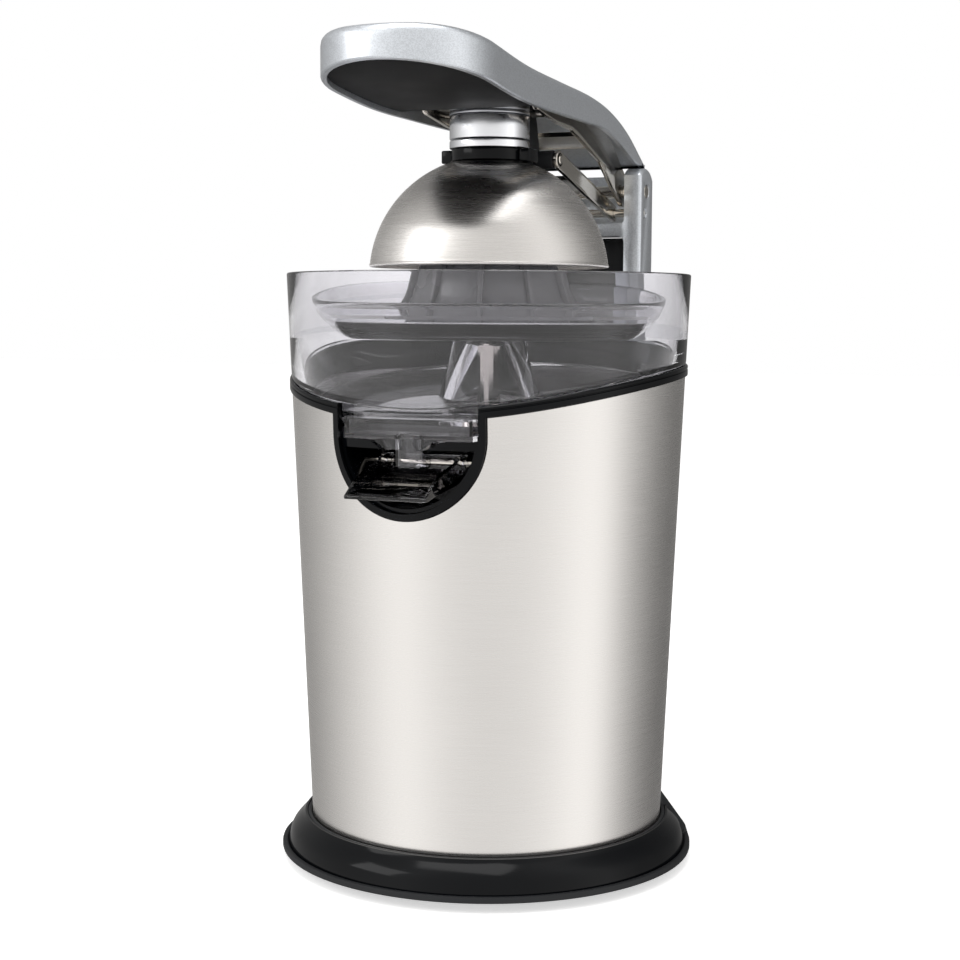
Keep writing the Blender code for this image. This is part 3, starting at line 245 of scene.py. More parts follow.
def metal_flake() -> bpy.types.NodeTree:
    """Small flakes of a metallic paint, each with its own tone.

    Returns:
        A group with a Flake value.
    """
    group = new_group("Metal flake", {"Flake size": 2800.0}, {"Flake": "NodeSocketFloat"})
    start, end = ends(group)
    wires = Wires(group)
    cells = wires.add("ShaderNodeTexVoronoi", feature="F1")
    wires.join(start.outputs["Vector"], cells.inputs["Vector"])
    wires.join(start.outputs["Flake size"], cells.inputs["Scale"])
    split = wires.add("ShaderNodeSeparateColor")
    wires.join(cells.outputs["Color"], split.inputs[0])
    wires.join(split.outputs[0], end.inputs["Flake"])
    return group


# ---------------------------------------------------------------- finishes

Sockets = tuple[bpy.types.NodeSocket, bpy.types.NodeSocket]

@dataclass(frozen=True)
class Finish:
    """One material: its fixed values, and how far its pattern moves them."""

    name: str
    slot: str
    colour: tuple[float, float, float]
    metallic: float = 0.0
    roughness: float = 0.4
    tone: float = 0.06  # how far the pattern darkens and lightens the colour
    rough_swing: float = 0.06
    bump: float = 0.02
    grain: Grain | None = None
    flake: bool = False
    anisotropy: float = 0.0
    coat: float = 0.0
    transmission: float = 0.0
    ior: float = 1.5
    alpha: float = 1.0
    fineness: float = 0.0
    edge_tint: float = 0.0  # darkening of a clear plastic where it is seen edge on
    specular: float = 0.5

    def make(self) -> bpy.types.Material:
        """Builds the material on first use.

        Returns:
            The material of this finish.
        """
        if self.name in bpy.data.materials:
            return bpy.data.materials[self.name]
        material = bpy.data.materials.new(self.name)
        material.use_nodes = True
        wires = Wires(material.node_tree)
        shader = material.node_tree.nodes["Principled BSDF"]
        values = {"Metallic": self.metallic, "Anisotropic": self.anisotropy, "Coat Weight": self.coat,
                  "Coat Roughness": 0.04, "Transmission Weight": self.transmission, "IOR": self.ior,
                  "Alpha": self.alpha, "Specular IOR Level": self.specular}
        for label, value in values.items():
            shader.inputs[label].default_value = value
        place = wires.add("ShaderNodeTexCoord").outputs["Object"]
        if self.flake:
            tone, relief = self.flakes(wires, place)
        elif self.grain:
            tone, relief = self.lines(wires, place)
        else:
            tone, relief = self.skin(wires, place)
        self.colour_from(wires, shader, tone)
        self.gloss_from(wires, shader, tone)
        bump = wires.add("ShaderNodeBump")
        bump.inputs["Strength"].default_value = self.bump
        bump.inputs["Distance"].default_value = 0.2 * MM
        wires.join(relief, bump.inputs["Height"])
        wires.join(bump.outputs[0], shader.inputs["Normal"])
        if self.anisotropy:
            turn = wires.add("ShaderNodeTangent", direction_type="RADIAL", axis="Z")
            wires.join(turn.outputs[0], shader.inputs["Tangent"])
        return material

    def group(self, wires: Wires, name: str, place: bpy.types.NodeSocket) -> bpy.types.Node:
        """Puts a shared shader group in the material.

        Args:
            wires: the material's tree.
            name: the group's name.
            place: the coordinates that it reads.

        Returns:
            The group's node.
        """
        node = wires.add("ShaderNodeGroup", node_tree=bpy.data.node_groups[name])
        wires.join(place, node.inputs["Vector"])
        if self.fineness:
            node.inputs[1].default_value = self.fineness
        return node

    def lines(self, wires: Wires, place: bpy.types.NodeSocket) -> Sockets:
        """Adds brushed lines.

        Args:
            wires: the material's tree.
            place: the coordinates that they read.

        Returns:
            The tone's and the relief's sockets.
        """
        name = "Round brushing" if self.grain is Grain.ROUND else "Long brushing"
        node = self.group(wires, name, place)
        mixed = wires.math("MULTIPLY_ADD", node.outputs["Lines"], 0.7)
        mixed.node.inputs[2].default_value = 0.0
        patch = wires.math("MULTIPLY", node.outputs["Patch"], 0.3)
        return wires.math("ADD", mixed, patch), node.outputs["Lines"]

    def skin(self, wires: Wires, place: bpy.types.NodeSocket) -> Sockets:
        """Adds a moulded skin.

        Args:
            wires: the material's tree.
            place: the coordinates that it reads.

        Returns:
            The tone's and the relief's sockets.
        """
        node = self.group(wires, "Moulded skin", place)
        return node.outputs["Cloud"], node.outputs["Grain"]

    def flakes(self, wires: Wires, place: bpy.types.NodeSocket) -> Sockets:
        """Adds metallic paint over a moulded skin.

        Args:
            wires: the material's tree.
            place: the coordinates that it reads.

        Returns:
            The tone's and the relief's sockets.
        """
        flake = self.group(wires, "Metal flake", place)
        skin = wires.add("ShaderNodeGroup", node_tree=bpy.data.node_groups["Moulded skin"])
        wires.join(place, skin.inputs["Vector"])
        return flake.outputs["Flake"], wires.math("ADD", flake.outputs["Flake"], skin.outputs["Grain"])

    def colour_from(self, wires: Wires, shader: bpy.types.Node, tone: bpy.types.NodeSocket) -> None:
        """Feeds the base colour from the pattern.

        Args:
            wires: the material's tree.
            shader: its Principled BSDF.
            tone: a value from 0 to 1.
        """
        ramp = wires.add("ShaderNodeValToRGB")
        low, high = ramp.color_ramp.elements
        low.position, high.position = 0.25, 0.75
        low.color = (*(c * (1 - self.tone) for c in self.colour), 1)
        high.color = (*(min(1.0, c * (1 + self.tone)) for c in self.colour), 1)
        wires.join(tone, ramp.inputs[0])
        if not self.edge_tint:
            wires.join(ramp.outputs[0], shader.inputs["Base Color"])
            return
        facing = wires.add("ShaderNodeLayerWeight")
        facing.inputs["Blend"].default_value = 0.35
        mix = wires.add("ShaderNodeMix", data_type="RGBA")
        wires.join(facing.outputs["Facing"], mix.inputs[0])
        wires.join(ramp.outputs[0], mix.inputs[6])
        mix.inputs[7].default_value = (*(c * (1 - self.edge_tint) for c in self.colour), 1)
        wires.join(mix.outputs[2], shader.inputs["Base Color"])

    def gloss_from(self, wires: Wires, shader: bpy.types.Node, tone: bpy.types.NodeSocket) -> None:
        """Feeds the roughness from the pattern.

        Args:
            wires: the material's tree.
            shader: its Principled BSDF.
            tone: a value from 0 to 1.
        """
        span = wires.add("ShaderNodeMapRange")
        span.inputs["From Min"].default_value = 0.25
        span.inputs["From Max"].default_value = 0.75
        span.inputs["To Min"].default_value = max(0.0, self.roughness - self.rough_swing)
        span.inputs["To Max"].default_value = self.roughness + self.rough_swing
        wires.join(tone, span.inputs["Value"])
        wires.join(span.outputs[0], shader.inputs["Roughness"])


STEEL = Finish("brushed steel", "steel", (0.76, 0.74, 0.72), 1.0, 0.27, 0.04, 0.04, 0.03,
               Grain.ROUND, anisotropy=0.75)
SPUN_STEEL = Finish("spun steel", "steel", (0.64, 0.62, 0.60), 1.0, 0.27, 0.05, 0.05, 0.05,
                    Grain.ROUND, anisotropy=0.85, fineness=5200.0)
DISH_STEEL = Finish("dish steel", "steel", (0.86, 0.85, 0.84), 1.0, 0.3, 0.04, 0.05, 0.03, Grain.ROUND)
BRIGHT_STEEL = Finish("bright steel", "polished_steel", (0.66, 0.62, 0.56), 1.0, 0.10, 0.05, 0.04, 0.02,
                      Grain.LONG)
PLAIN_STEEL = Finish("plain steel", "steel", (0.55, 0.54, 0.52), 1.0, 0.35, 0.08, 0.08, 0.05, Grain.ROUND)
SILVER_PAINT = Finish("silver paint", "silver_paint", (0.64, 0.67, 0.71), 0.75, 0.33, 0.08, 0.05, 0.03,
                      flake=True, coat=0.35)
SATIN_METAL = Finish("satin metal", "satin_metal", (0.84, 0.85, 0.88), 1.0, 0.2, 0.03, 0.04, 0.03,
                     Grain.ROUND, anisotropy=0.4)
DARK_METAL = Finish("dark satin metal", "satin_metal", (0.44, 0.45, 0.48), 1.0, 0.28, 0.04, 0.04, 0.03,
                    Grain.ROUND, anisotropy=0.6)
GLOSS_BLACK = Finish("gloss blue-black", "gloss_black", (0.002, 0.0025, 0.0035), 0.0, 0.12, 0.2, 0.04, 0.01,
                     specular=0.16)
MATTE_BLACK = Finish("matte black", "matte_black", (0.016, 0.017, 0.019), 0.0, 0.5, 0.18, 0.08, 0.22, specular=0.25)
GREY_LINING = Finish("dark grey lining", "matte_black", (0.012, 0.012, 0.013), 0.0, 0.55, 0.15, 0.08, 0.25,
                     specular=0.1)
SMOKE = Finish("smoke clear plastic", "smoke", (0.865, 0.86, 0.885), 0.0, 0.02, 0.02, 0.012, 0.003,
               transmission=1.0, ior=1.42, edge_tint=0.4)
RUBBER = Finish("rubber", "rubber", (0.016, 0.016, 0.017), 0.0, 0.72, 0.2, 0.08, 0.3)
CONE_PLASTIC = Finish("cone plastic", "cone_plastic", (0.17, 0.17, 0.18), 0.0, 0.26, 0.08, 0.06, 0.03)
NYLON = Finish("nylon", "gear_plastic", (0.72, 0.69, 0.60), 0.0, 0.5, 0.06, 0.06, 0.1)
COPPER = Finish("copper", "copper", (0.60, 0.30, 0.17), 1.0, 0.35, 0.12, 0.08, 0.1, Grain.ROUND)
BRONZE = Finish("bronze", "bronze", (0.50, 0.36, 0.20), 1.0, 0.4, 0.08, 0.08, 0.1)

# ---------------------------------------------------------------- mesh tools


def body_radius(z: float) -> float:
    """Radius of the conical body at a height in millimetres."""
    return 87.5 - (255.7 - z) * 0.0436


def parting(angle: float) -> float:
    """Height of the line between bowl and body, at an angle in radians from the spout."""
    return 255.7 - 39.5 - 17.3 * ((1 + math.cos(angle)) / 2) ** 3


def arc(u: float, v: float, radius: float, start: float, end: float, count: int) -> list[Pair]:
    """Points on an arc.

    Args:
        u: first coordinate of its centre.
        v: second coordinate of its centre.
        radius: its radius.
        start: its first angle in degrees.
        end: its last angle in degrees.
        count: how many points it has.

    Returns:
        The points, ends included.
    """
    angles = [math.radians(start + (end - start) * i / (count - 1)) for i in range(count)]
    return [(u + radius * math.cos(a), v + radius * math.sin(a)) for a in angles]


def rounded(points: Sequence[Pair], radius: float, count: int = 5, closed: bool = True) -> list[Pair]:
    """Rounds the corners of an outline.

    Args:
        points: the corners.
        radius: the largest rounding.
        count: how many points a rounded corner has.
        closed: whether the last point joins the first.

    Returns:
        The rounded outline.
    """
    made: list[Pair] = []
    size = len(points)
    for i, point in enumerate(points):
        here = Vector(point)
        if not closed and i in (0, size - 1):
            made.append(tuple(here))
            continue
        back = Vector(points[i - 1]) - here
        ahead = Vector(points[(i + 1) % size]) - here
        turn = max(0.02, back.angle(ahead, math.pi))
        reach = min(radius / math.tan(turn / 2), 0.45 * back.length, 0.45 * ahead.length)
        first = here + back.normalized() * reach
        last = here + ahead.normalized() * reach
        for j in range(count):
            t = j / (count - 1)
            made.append(tuple(first * (1 - t) ** 2 + here * 2 * t * (1 - t) + last * t * t))
    return made


def smooth_line(points: Sequence[Pair], count: int) -> list[Pair]:
    """A smooth curve through a few points.

    Args:
        points: the points that it passes through.
        count: how many points lie on each stretch.

    Returns:
        The curve's points.
    """
    size = len(points)
    made: list[Pair] = []
    for i in range(size - 1):
        a, b = Vector(points[max(i - 1, 0)]), Vector(points[i])
        c, d = Vector(points[i + 1]), Vector(points[min(i + 2, size - 1)])
        for j in range(count):
            t = j / count
            place = b * 2 + (c - a) * t + (a * 2 - b * 5 + c * 4 - d) * t * t + (b * 3 - a - c * 3 + d) * t ** 3
            made.append(tuple(place / 2))
    return made + [tuple(points[-1])]


def finished(name: str, work: bmesh.types.BMesh, finish: Finish, crease: float = 40.0) -> bpy.types.Object:
    """Turns a work mesh in millimetres into an object at the origin.

    Args:
        name: the piece's name.
        work: the mesh, which is freed.
        finish: its material.
        crease: edges sharper than this many degrees stay sharp.

    Returns:
        The new object.
    """
    bmesh.ops.remove_doubles(work, verts=work.verts, dist=0.0005)
    bmesh.ops.recalc_face_normals(work, faces=work.faces)
    mesh = bpy.data.meshes.new(name)
    work.to_mesh(mesh)
    work.free()
    mesh.transform(Matrix.Scale(MM, 4))
    mesh.materials.append(finish.make())
    mesh.shade_smooth()
    mesh.set_sharp_from_angle(angle=math.radians(crease))
    piece = bpy.data.objects.new(name, mesh)
    bpy.context.scene.collection.objects.link(piece)
    return piece


def lathe(name: str, profile: Sequence[Pair], finish: Finish, steps: int = 128,
          centre: Pair = (0.0, 0.0), crease: float = 40.0) -> bpy.types.Object:
    """Turns a closed (r, z) profile round a vertical axis.

    Args:
        name: the piece's name.
        profile: its section, whose points at r = 0 become poles.
        finish: its material.
        steps: how many facets it has.
        centre: where the axis stands, in plan.
        crease: edges sharper than this stay sharp.

    Returns:
        The new object.
    """
    work = bmesh.new()
    rings = []
    for r, z in profile:
        if r < 0.001:
            rings.append([work.verts.new((*centre, z))] * steps)
            continue
        angles = [TAU * i / steps for i in range(steps)]
        rings.append([work.verts.new((centre[0] + r * math.cos(a), centre[1] + r * math.sin(a), z))
                      for a in angles])
    for low, high in zip(rings, rings[1:] + rings[:1]):
        for i in range(steps):
            j = (i + 1) % steps
            corners = list(dict.fromkeys((low[i], low[j], high[j], high[i])))
            if len(corners) > 2:
                work.faces.new(corners)
    return finished(name, work, finish, crease)


def swept_ring(name: str, section: Section, finish: Finish, steps: int = 192,
               start: float = -math.pi, end: float = math.pi) -> bpy.types.Object:
    """A ring whose closed (r, z) section changes with the angle from the spout.

    Args:
        name: the piece's name.
        section: gives the section at an angle.
        finish: its material.
        steps: how many facets it has.
        start: its first angle.
        end: its last angle.

    Returns:
        The new object.
    """
    whole = end - start > TAU - 0.001
    work = bmesh.new()
    rows = []
    for i in range(steps if whole else steps + 1):
        angle = start + (end - start) * i / steps
        rows.append([work.verts.new((r * math.sin(angle), -r * math.cos(angle), z)) for r, z in section(angle)])
    size = len(rows[0])
    for here, there in zip(rows, rows[1:] + (rows[:1] if whole else [])):
        for j in range(size):
            k = (j + 1) % size
            work.faces.new((here[j], here[k], there[k], there[j]))
    if not whole:
        work.faces.new(rows[0])
        work.faces.new(rows[-1])
    return finished(name, work, finish)


def slab(name: str, outline: Sequence[Pair], plane: Plane, low: float, high: float, finish: Finish,
         bevel: float = 0.0) -> bpy.types.Object:
    """A flat outline given thickness, with rounded edges.

    Args:
        name: the piece's name.
        outline: its corners.
        plane: the plane that they lie in.
        low: where it starts on the third axis.
        high: where it ends.
        finish: its material.
        bevel: how far its edges are rounded.

    Returns:
        The new object.
    """
    def place(u: float, v: float, w: float) -> tuple[float, float, float]:
        return {Plane.SIDE: (w, u, v), Plane.FRONT: (u, w, v), Plane.PLAN: (u, v, w)}[plane]

    work = bmesh.new()
    rings = [[work.verts.new(place(u, v, w)) for u, v in outline] for w in (low, high)]
    size = len(outline)
    for i in range(size):
        j = (i + 1) % size
        work.faces.new((rings[0][i], rings[0][j], rings[1][j], rings[1][i]))
    work.faces.new(rings[0])
    work.faces.new(rings[1])
    if bevel:
        rims = [e for e in work.edges if (e.verts[0] in rings[0]) == (e.verts[1] in rings[0])]
        bmesh.ops.recalc_face_normals(work, faces=work.faces)
        bmesh.ops.bevel(work, geom=rims, offset=bevel, segments=3, profile=0.5, affect="EDGES",
                        clamp_overlap=True)
    return finished(name, work, finish)


def rod(name: str, radius: float, half: float, y: float, z: float, finish: Finish) -> bpy.types.Object:
    """A pin across the object, with rounded ends.

    Args:
        name: the piece's name.
        radius: its radius.
        half: half its length.
        y: its place from front to back.
        z: its height.
        finish: its material.

    Returns:
        The new object.
    """
    work = bmesh.new()
    edge = 0.35
    stations = [(-half, radius - edge), (-half + edge, radius), (half - edge, radius), (half, radius - edge)]
    rings = [[work.verts.new((x, y + v, z + w)) for v, w in arc(0, 0, r, 0, 337.5, 32)] for x, r in stations]
    rings = [ring[:] for ring in rings]
    for here, there in zip(rings, rings[1:]):
        for i in range(32):
            j = (i + 1) % 32
            work.faces.new((here[i], here[j], there[j], there[i]))
    work.faces.new(rings[0])
    work.faces.new(rings[-1])
    return finished(name, work, finish)


def baked(piece: bpy.types.Object) -> bpy.types.Object:
    """Replaces a piece's mesh by what its modifiers make of it.

    Args:
        piece: the piece, which keeps its name and material.

    Returns:
        The same piece, with no modifier left.
    """
    graph = bpy.context.evaluated_depsgraph_get()
    mesh = bpy.data.meshes.new_from_object(piece.evaluated_get(graph))
    piece.modifiers.clear()
    piece.data = mesh
    return piece


def carved(piece: bpy.types.Object, *tools: bpy.types.Object, operation: str = "DIFFERENCE",
           crease: float = 40.0) -> bpy.types.Object:
    """Cuts tools out of a piece, or keeps or adds them.

    Args:
        piece: the piece.
        tools: the other meshes, which are removed.
        operation: the Boolean's operation.
        crease: edges sharper than this stay sharp.

    Returns:
        The piece.
    """
    for tool in tools:
        change = piece.modifiers.new(operation.title(), "BOOLEAN")
        change.operation = operation
        change.object = tool
        change.solver = "EXACT"
        baked(piece)
        bpy.data.objects.remove(tool)
    material = piece.data.materials[0]
    piece.data.materials.clear()
    piece.data.materials.append(material)
    piece.data.polygons.foreach_set("material_index", [0] * len(piece.data.polygons))
    piece.data.shade_smooth()
    piece.data.set_sharp_from_angle(angle=math.radians(crease))
    return piece


def copies_tree() -> bpy.types.NodeTree:
    """Geometry Nodes that set copies of a piece round the vertical axis.

    Returns:
        A tree with Count, Radius and First inputs, and the Material that the copies take.
    """
    tree = bpy.data.node_groups.new("Copies in a ring", "GeometryNodeTree")
    face = tree.interface
    face.new_socket("Geometry", in_out="INPUT", socket_type="NodeSocketGeometry")
    for label, kind, value in (("Count", "NodeSocketInt", 6), ("Radius", "NodeSocketFloat", 0.0),
                               ("First", "NodeSocketFloat", 0.0), ("Material", "NodeSocketMaterial", None)):
        socket = face.new_socket(label, in_out="INPUT", socket_type=kind)
        if value is not None:
            socket.default_value = value
    face.new_socket("Geometry", in_out="OUTPUT", socket_type="NodeSocketGeometry")
    wires = Wires(tree)
    start, end = wires.add("NodeGroupInput"), wires.add("NodeGroupOutput")
    row = wires.add("GeometryNodeMeshLine")
    row.inputs["Offset"].default_value = (0, 0, 0)
    wires.join(start.outputs["Count"], row.inputs["Count"])
    step = wires.math("DIVIDE", TAU, start.outputs["Count"])
    index = wires.add("GeometryNodeInputIndex").outputs[0]
    turn = wires.math("ADD", wires.math("MULTIPLY", index, step), start.outputs["First"])
    spot = wires.vector(wires.math("MULTIPLY", wires.math("COSINE", turn), start.outputs["Radius"]),
                        wires.math("MULTIPLY", wires.math("SINE", turn), start.outputs["Radius"]), 0.0)
    move = wires.add("GeometryNodeSetPosition")
    wires.join(row.outputs[0], move.inputs["Geometry"])
    wires.join(spot, move.inputs["Position"])
    copy = wires.add("GeometryNodeInstanceOnPoints")
    wires.join(move.outputs[0], copy.inputs["Points"])
    wires.join(start.outputs["Geometry"], copy.inputs["Instance"])
    wires.join(wires.vector(0.0, 0.0, turn), copy.inputs["Rotation"])
    real = wires.add("GeometryNodeRealizeInstances")
    wires.join(copy.outputs[0], real.inputs[0])
    coat = wires.add("GeometryNodeSetMaterial")
    wires.join(real.outputs[0], coat.inputs["Geometry"])
    wires.join(start.outputs["Material"], coat.inputs["Material"])
    wires.join(coat.outputs[0], end.inputs[0])
    return tree


def ring_of(piece: bpy.types.Object, count: int, radius: float = 0.0, first: float = 0.0) -> bpy.types.Object:
    """Repeats a piece round the vertical axis, as one plain mesh.

    Args:
        piece: the piece, drawn on the +X side of the axis.
        count: how many copies there are.
        radius: how far each is moved out, in millimetres.
        first: the angle of the first one, in degrees.

    Returns:
        The same piece, now all the copies.
    """
    tree = bpy.data.node_groups["Copies in a ring"]
    values = {"Count": count, "Radius": radius * MM, "First": math.radians(first),
              "Material": piece.data.materials[0]}
    repeat = piece.modifiers.new("Copies", "NODES")
    repeat.node_group = tree
    for item in tree.interface.items_tree:
        if item.in_out == "INPUT" and item.name in values:
            repeat[item.identifier] = values[item.name]
    baked(piece)
    piece.data.shade_smooth()
    piece.data.set_sharp_from_angle(angle=math.radians(40))
    return piece


def settle(piece: bpy.types.Object, body: str, finish: Finish, *nodes: str) -> bpy.types.Object:
    """Lets a finished piece ride on its body in place of CAD nodes, and reports it.

    Args:
        piece: the finished piece.
        body: the body that it moves with.
        finish: not used.
        nodes: the CAD nodes that it stands for.

    Returns:
        The piece.
    """
    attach(piece, body)
    if nodes:
        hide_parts(*nodes)
    log.info("%s: %d faces on %s", piece.name, len(piece.data.polygons), body)
    return piece


def dress(finish: Finish, *nodes: str) -> None:
    """Gives CAD nodes that keep their own mesh a material.

    Args:
        finish: the material.
        nodes: the nodes.
    """
    for name in nodes:
        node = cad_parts[name]
        node.data.materials.clear()
        node.data.materials.append(finish.make())
        log.info("%s dressed in %s", name, finish.name)


# ---------------------------------------------------------------- the sub-assemblies


@dataclass
class Base:
    """The foot of the machine: lip, skirt, rear hump, under plate, feet and screws."""

    radius: float = 90.5
    bottom: float = 4.3
    lip_top: float = 6.9
    skirt_top: float = 19.5
    hump_top: float = 24.5
    half_angle: float = math.radians(116)
    foot_radius: float = 11.0
    foot_place: float = 48.0
    screw_circle: float = 71.5

    def build(self) -> None:
        """Builds every piece of the base and lets it ride on the root."""
        wall = body_radius(18.0)
        self.housing(wall)
        self.skirt(wall)
        self.underside()
        self.feet()
        self.screws()
        gland = swept_gland()
        settle(gland, "root", RUBBER, "cord_gland")

    def housing(self, wall: float) -> None:
        """Builds the matte ring under the skirt, with the hump behind.

        Args:
            wall: outer radius of the steel at its foot.
        """
        out = wall + 0.6
        inside = wall - 1.4

        def section(angle: float) -> Sequence[Pair]:
            rear = abs(angle) > self.half_angle
            ease = min(1.0, max(0.0, (abs(angle) - self.half_angle) / 0.05))
            rear_top = self.skirt_top + (self.hump_top - self.skirt_top) * ease if rear else self.skirt_top
            lip = self.lip_top if rear else self.lip_top - 1.6
            shoulder = self.radius - (1.0 if rear else 2.3)
            belt = self.lip_top + 3.2 if rear else self.lip_top
            points = [(out, rear_top), (out + 1.4, rear_top), (shoulder - (0 if rear else 0.7), belt if rear else lip),
                      (self.radius - (0.0 if rear else 2.1), self.lip_top), (self.radius, self.lip_top),
                      (self.radius, self.bottom), (self.radius - 5.1, self.bottom), (self.radius - 5.1, self.lip_top),
                      (inside - 2.5, 17.0), (inside - 2.5, 27.0), (inside, 27.0), (inside, 17.7), (out, 17.7)]
            return rounded(points, 0.5, 3)

        ring = swept_ring("base_ring", section, MATTE_BLACK)
        settle(ring, "root", MATTE_BLACK, "base_housing")

    def skirt(self, wall: float) -> None:
        """Builds the gloss skirt that covers the front.

        Args:
            wall: outer radius of the steel at its foot.
        """
        top = wall + 2.5

        def section(_angle: float) -> Sequence[Pair]:
            outer = [(top, self.skirt_top), (top + 0.9, self.skirt_top), (top + 1.7, self.skirt_top - 1.2)]
            slope = smooth_line([(top + 1.7, self.skirt_top - 1.2), (self.radius - 4.6, 13.2),
                                 (self.radius - 2.9, 8.2)], 5)
            return outer[:2] + slope + [(self.radius - 2.8, self.lip_top - 1.2), (self.radius - 4.0, 6.0)]

        edge = self.half_angle - 0.006
        cover = swept_ring("skirt_cover", section, GLOSS_BLACK, 150, -edge, edge)
        settle(cover, "root", GLOSS_BLACK, "base_skirt")

    def underside(self) -> None:
        """Builds the plate under the base, with its rings of vents."""
        edge = self.radius - 5.4
        profile = rounded([(0, 4.6), (edge, 4.6), (edge, 6.6), (0, 6.6)], 0.4, 3)
        profile[0] = (0, 4.6)
        plate = lathe("under_plate", [(0, 4.6)] + [p for p in profile if p[0] > 1] + [(0, 6.6)], MATTE_BLACK, 96)
        for count, inner, outer in ((18, 20.0, 33.0), (24, 38.0, 44.0)):
            vent = slab("vent", arc(outer, 0, 1.1, -90, 90, 7) + arc(inner, 0, 1.1, 90, 270, 7),
                        Plane.PLAN, 3.0, 9.0, MATTE_BLACK)
            carved(plate, ring_of(vent, count, 0.0, 7.5))
        settle(plate, "root", MATTE_BLACK, "base_plate")

    def feet(self) -> None:
        """Builds the four rubber feet, each with a ring moulded in its side."""
        far = self.foot_radius
        profile = [(0, 0), (far - 3.5, 0), (far - 3.2, 0.35), (far - 0.6, 0.35)]
        profile += [(far, 0.9), (far - 0.15, 1.4), (far - 1.2, 2.1), (5.6, 2.9), (5.0, 3.6), (5.0, 4.2), (0, 4.2)]
        foot = lathe("rubber_feet", profile, RUBBER, 48)
        settle(ring_of(foot, 4, math.hypot(self.foot_place, self.foot_place), 45.0), "root", RUBBER,
               "foot_1", "foot_2", "foot_3", "foot_4")

    def screws(self) -> None:
        """Builds the four screws that hold the under plate, with cross slots."""
        head = lathe("plate_screws", [(0, 3.1), (1.6, 3.0), (2.6, 3.3), (3.0, 4.3), (0, 4.3)], BRIGHT_STEEL, 32)
        for angle in (0, 90):
            cross = slab("cross", [(-1.7, -0.3), (1.7, -0.3), (1.7, 0.3), (-1.7, 0.3)], Plane.PLAN, 2.0, 3.7,
                         BRIGHT_STEEL)
            cross.data.transform(Matrix.Rotation(math.radians(angle), 4, "Z"))
            carved(head, cross)
        settle(ring_of(head, 4, self.screw_circle, 22.5), "root", BRIGHT_STEEL,
               "plate_screw_1", "plate_screw_2", "plate_screw_3", "plate_screw_4")


def swept_gland() -> bpy.types.Object:
    """The rubber gland at the back of the base, a stepped sleeve.

    Returns:
        The new object.
    """
    profile = [(3.0, 0.0), (3.0, 9.9), (3.6, 10.3), (4.3, 10.1), (4.5, 9.6), (4.5, 8.2), (4.1, 8.0), (4.1, 7.2),
               (4.5, 7.0), (4.5, 0.0)]
    gland = lathe("gland_sleeve", profile, RUBBER, 48)
    stand = Matrix.Translation((0, 82.6 * MM, 13.0 * MM)) @ Matrix.Rotation(-math.pi / 2, 4, "X")
    gland.data.transform(stand)
    return gland


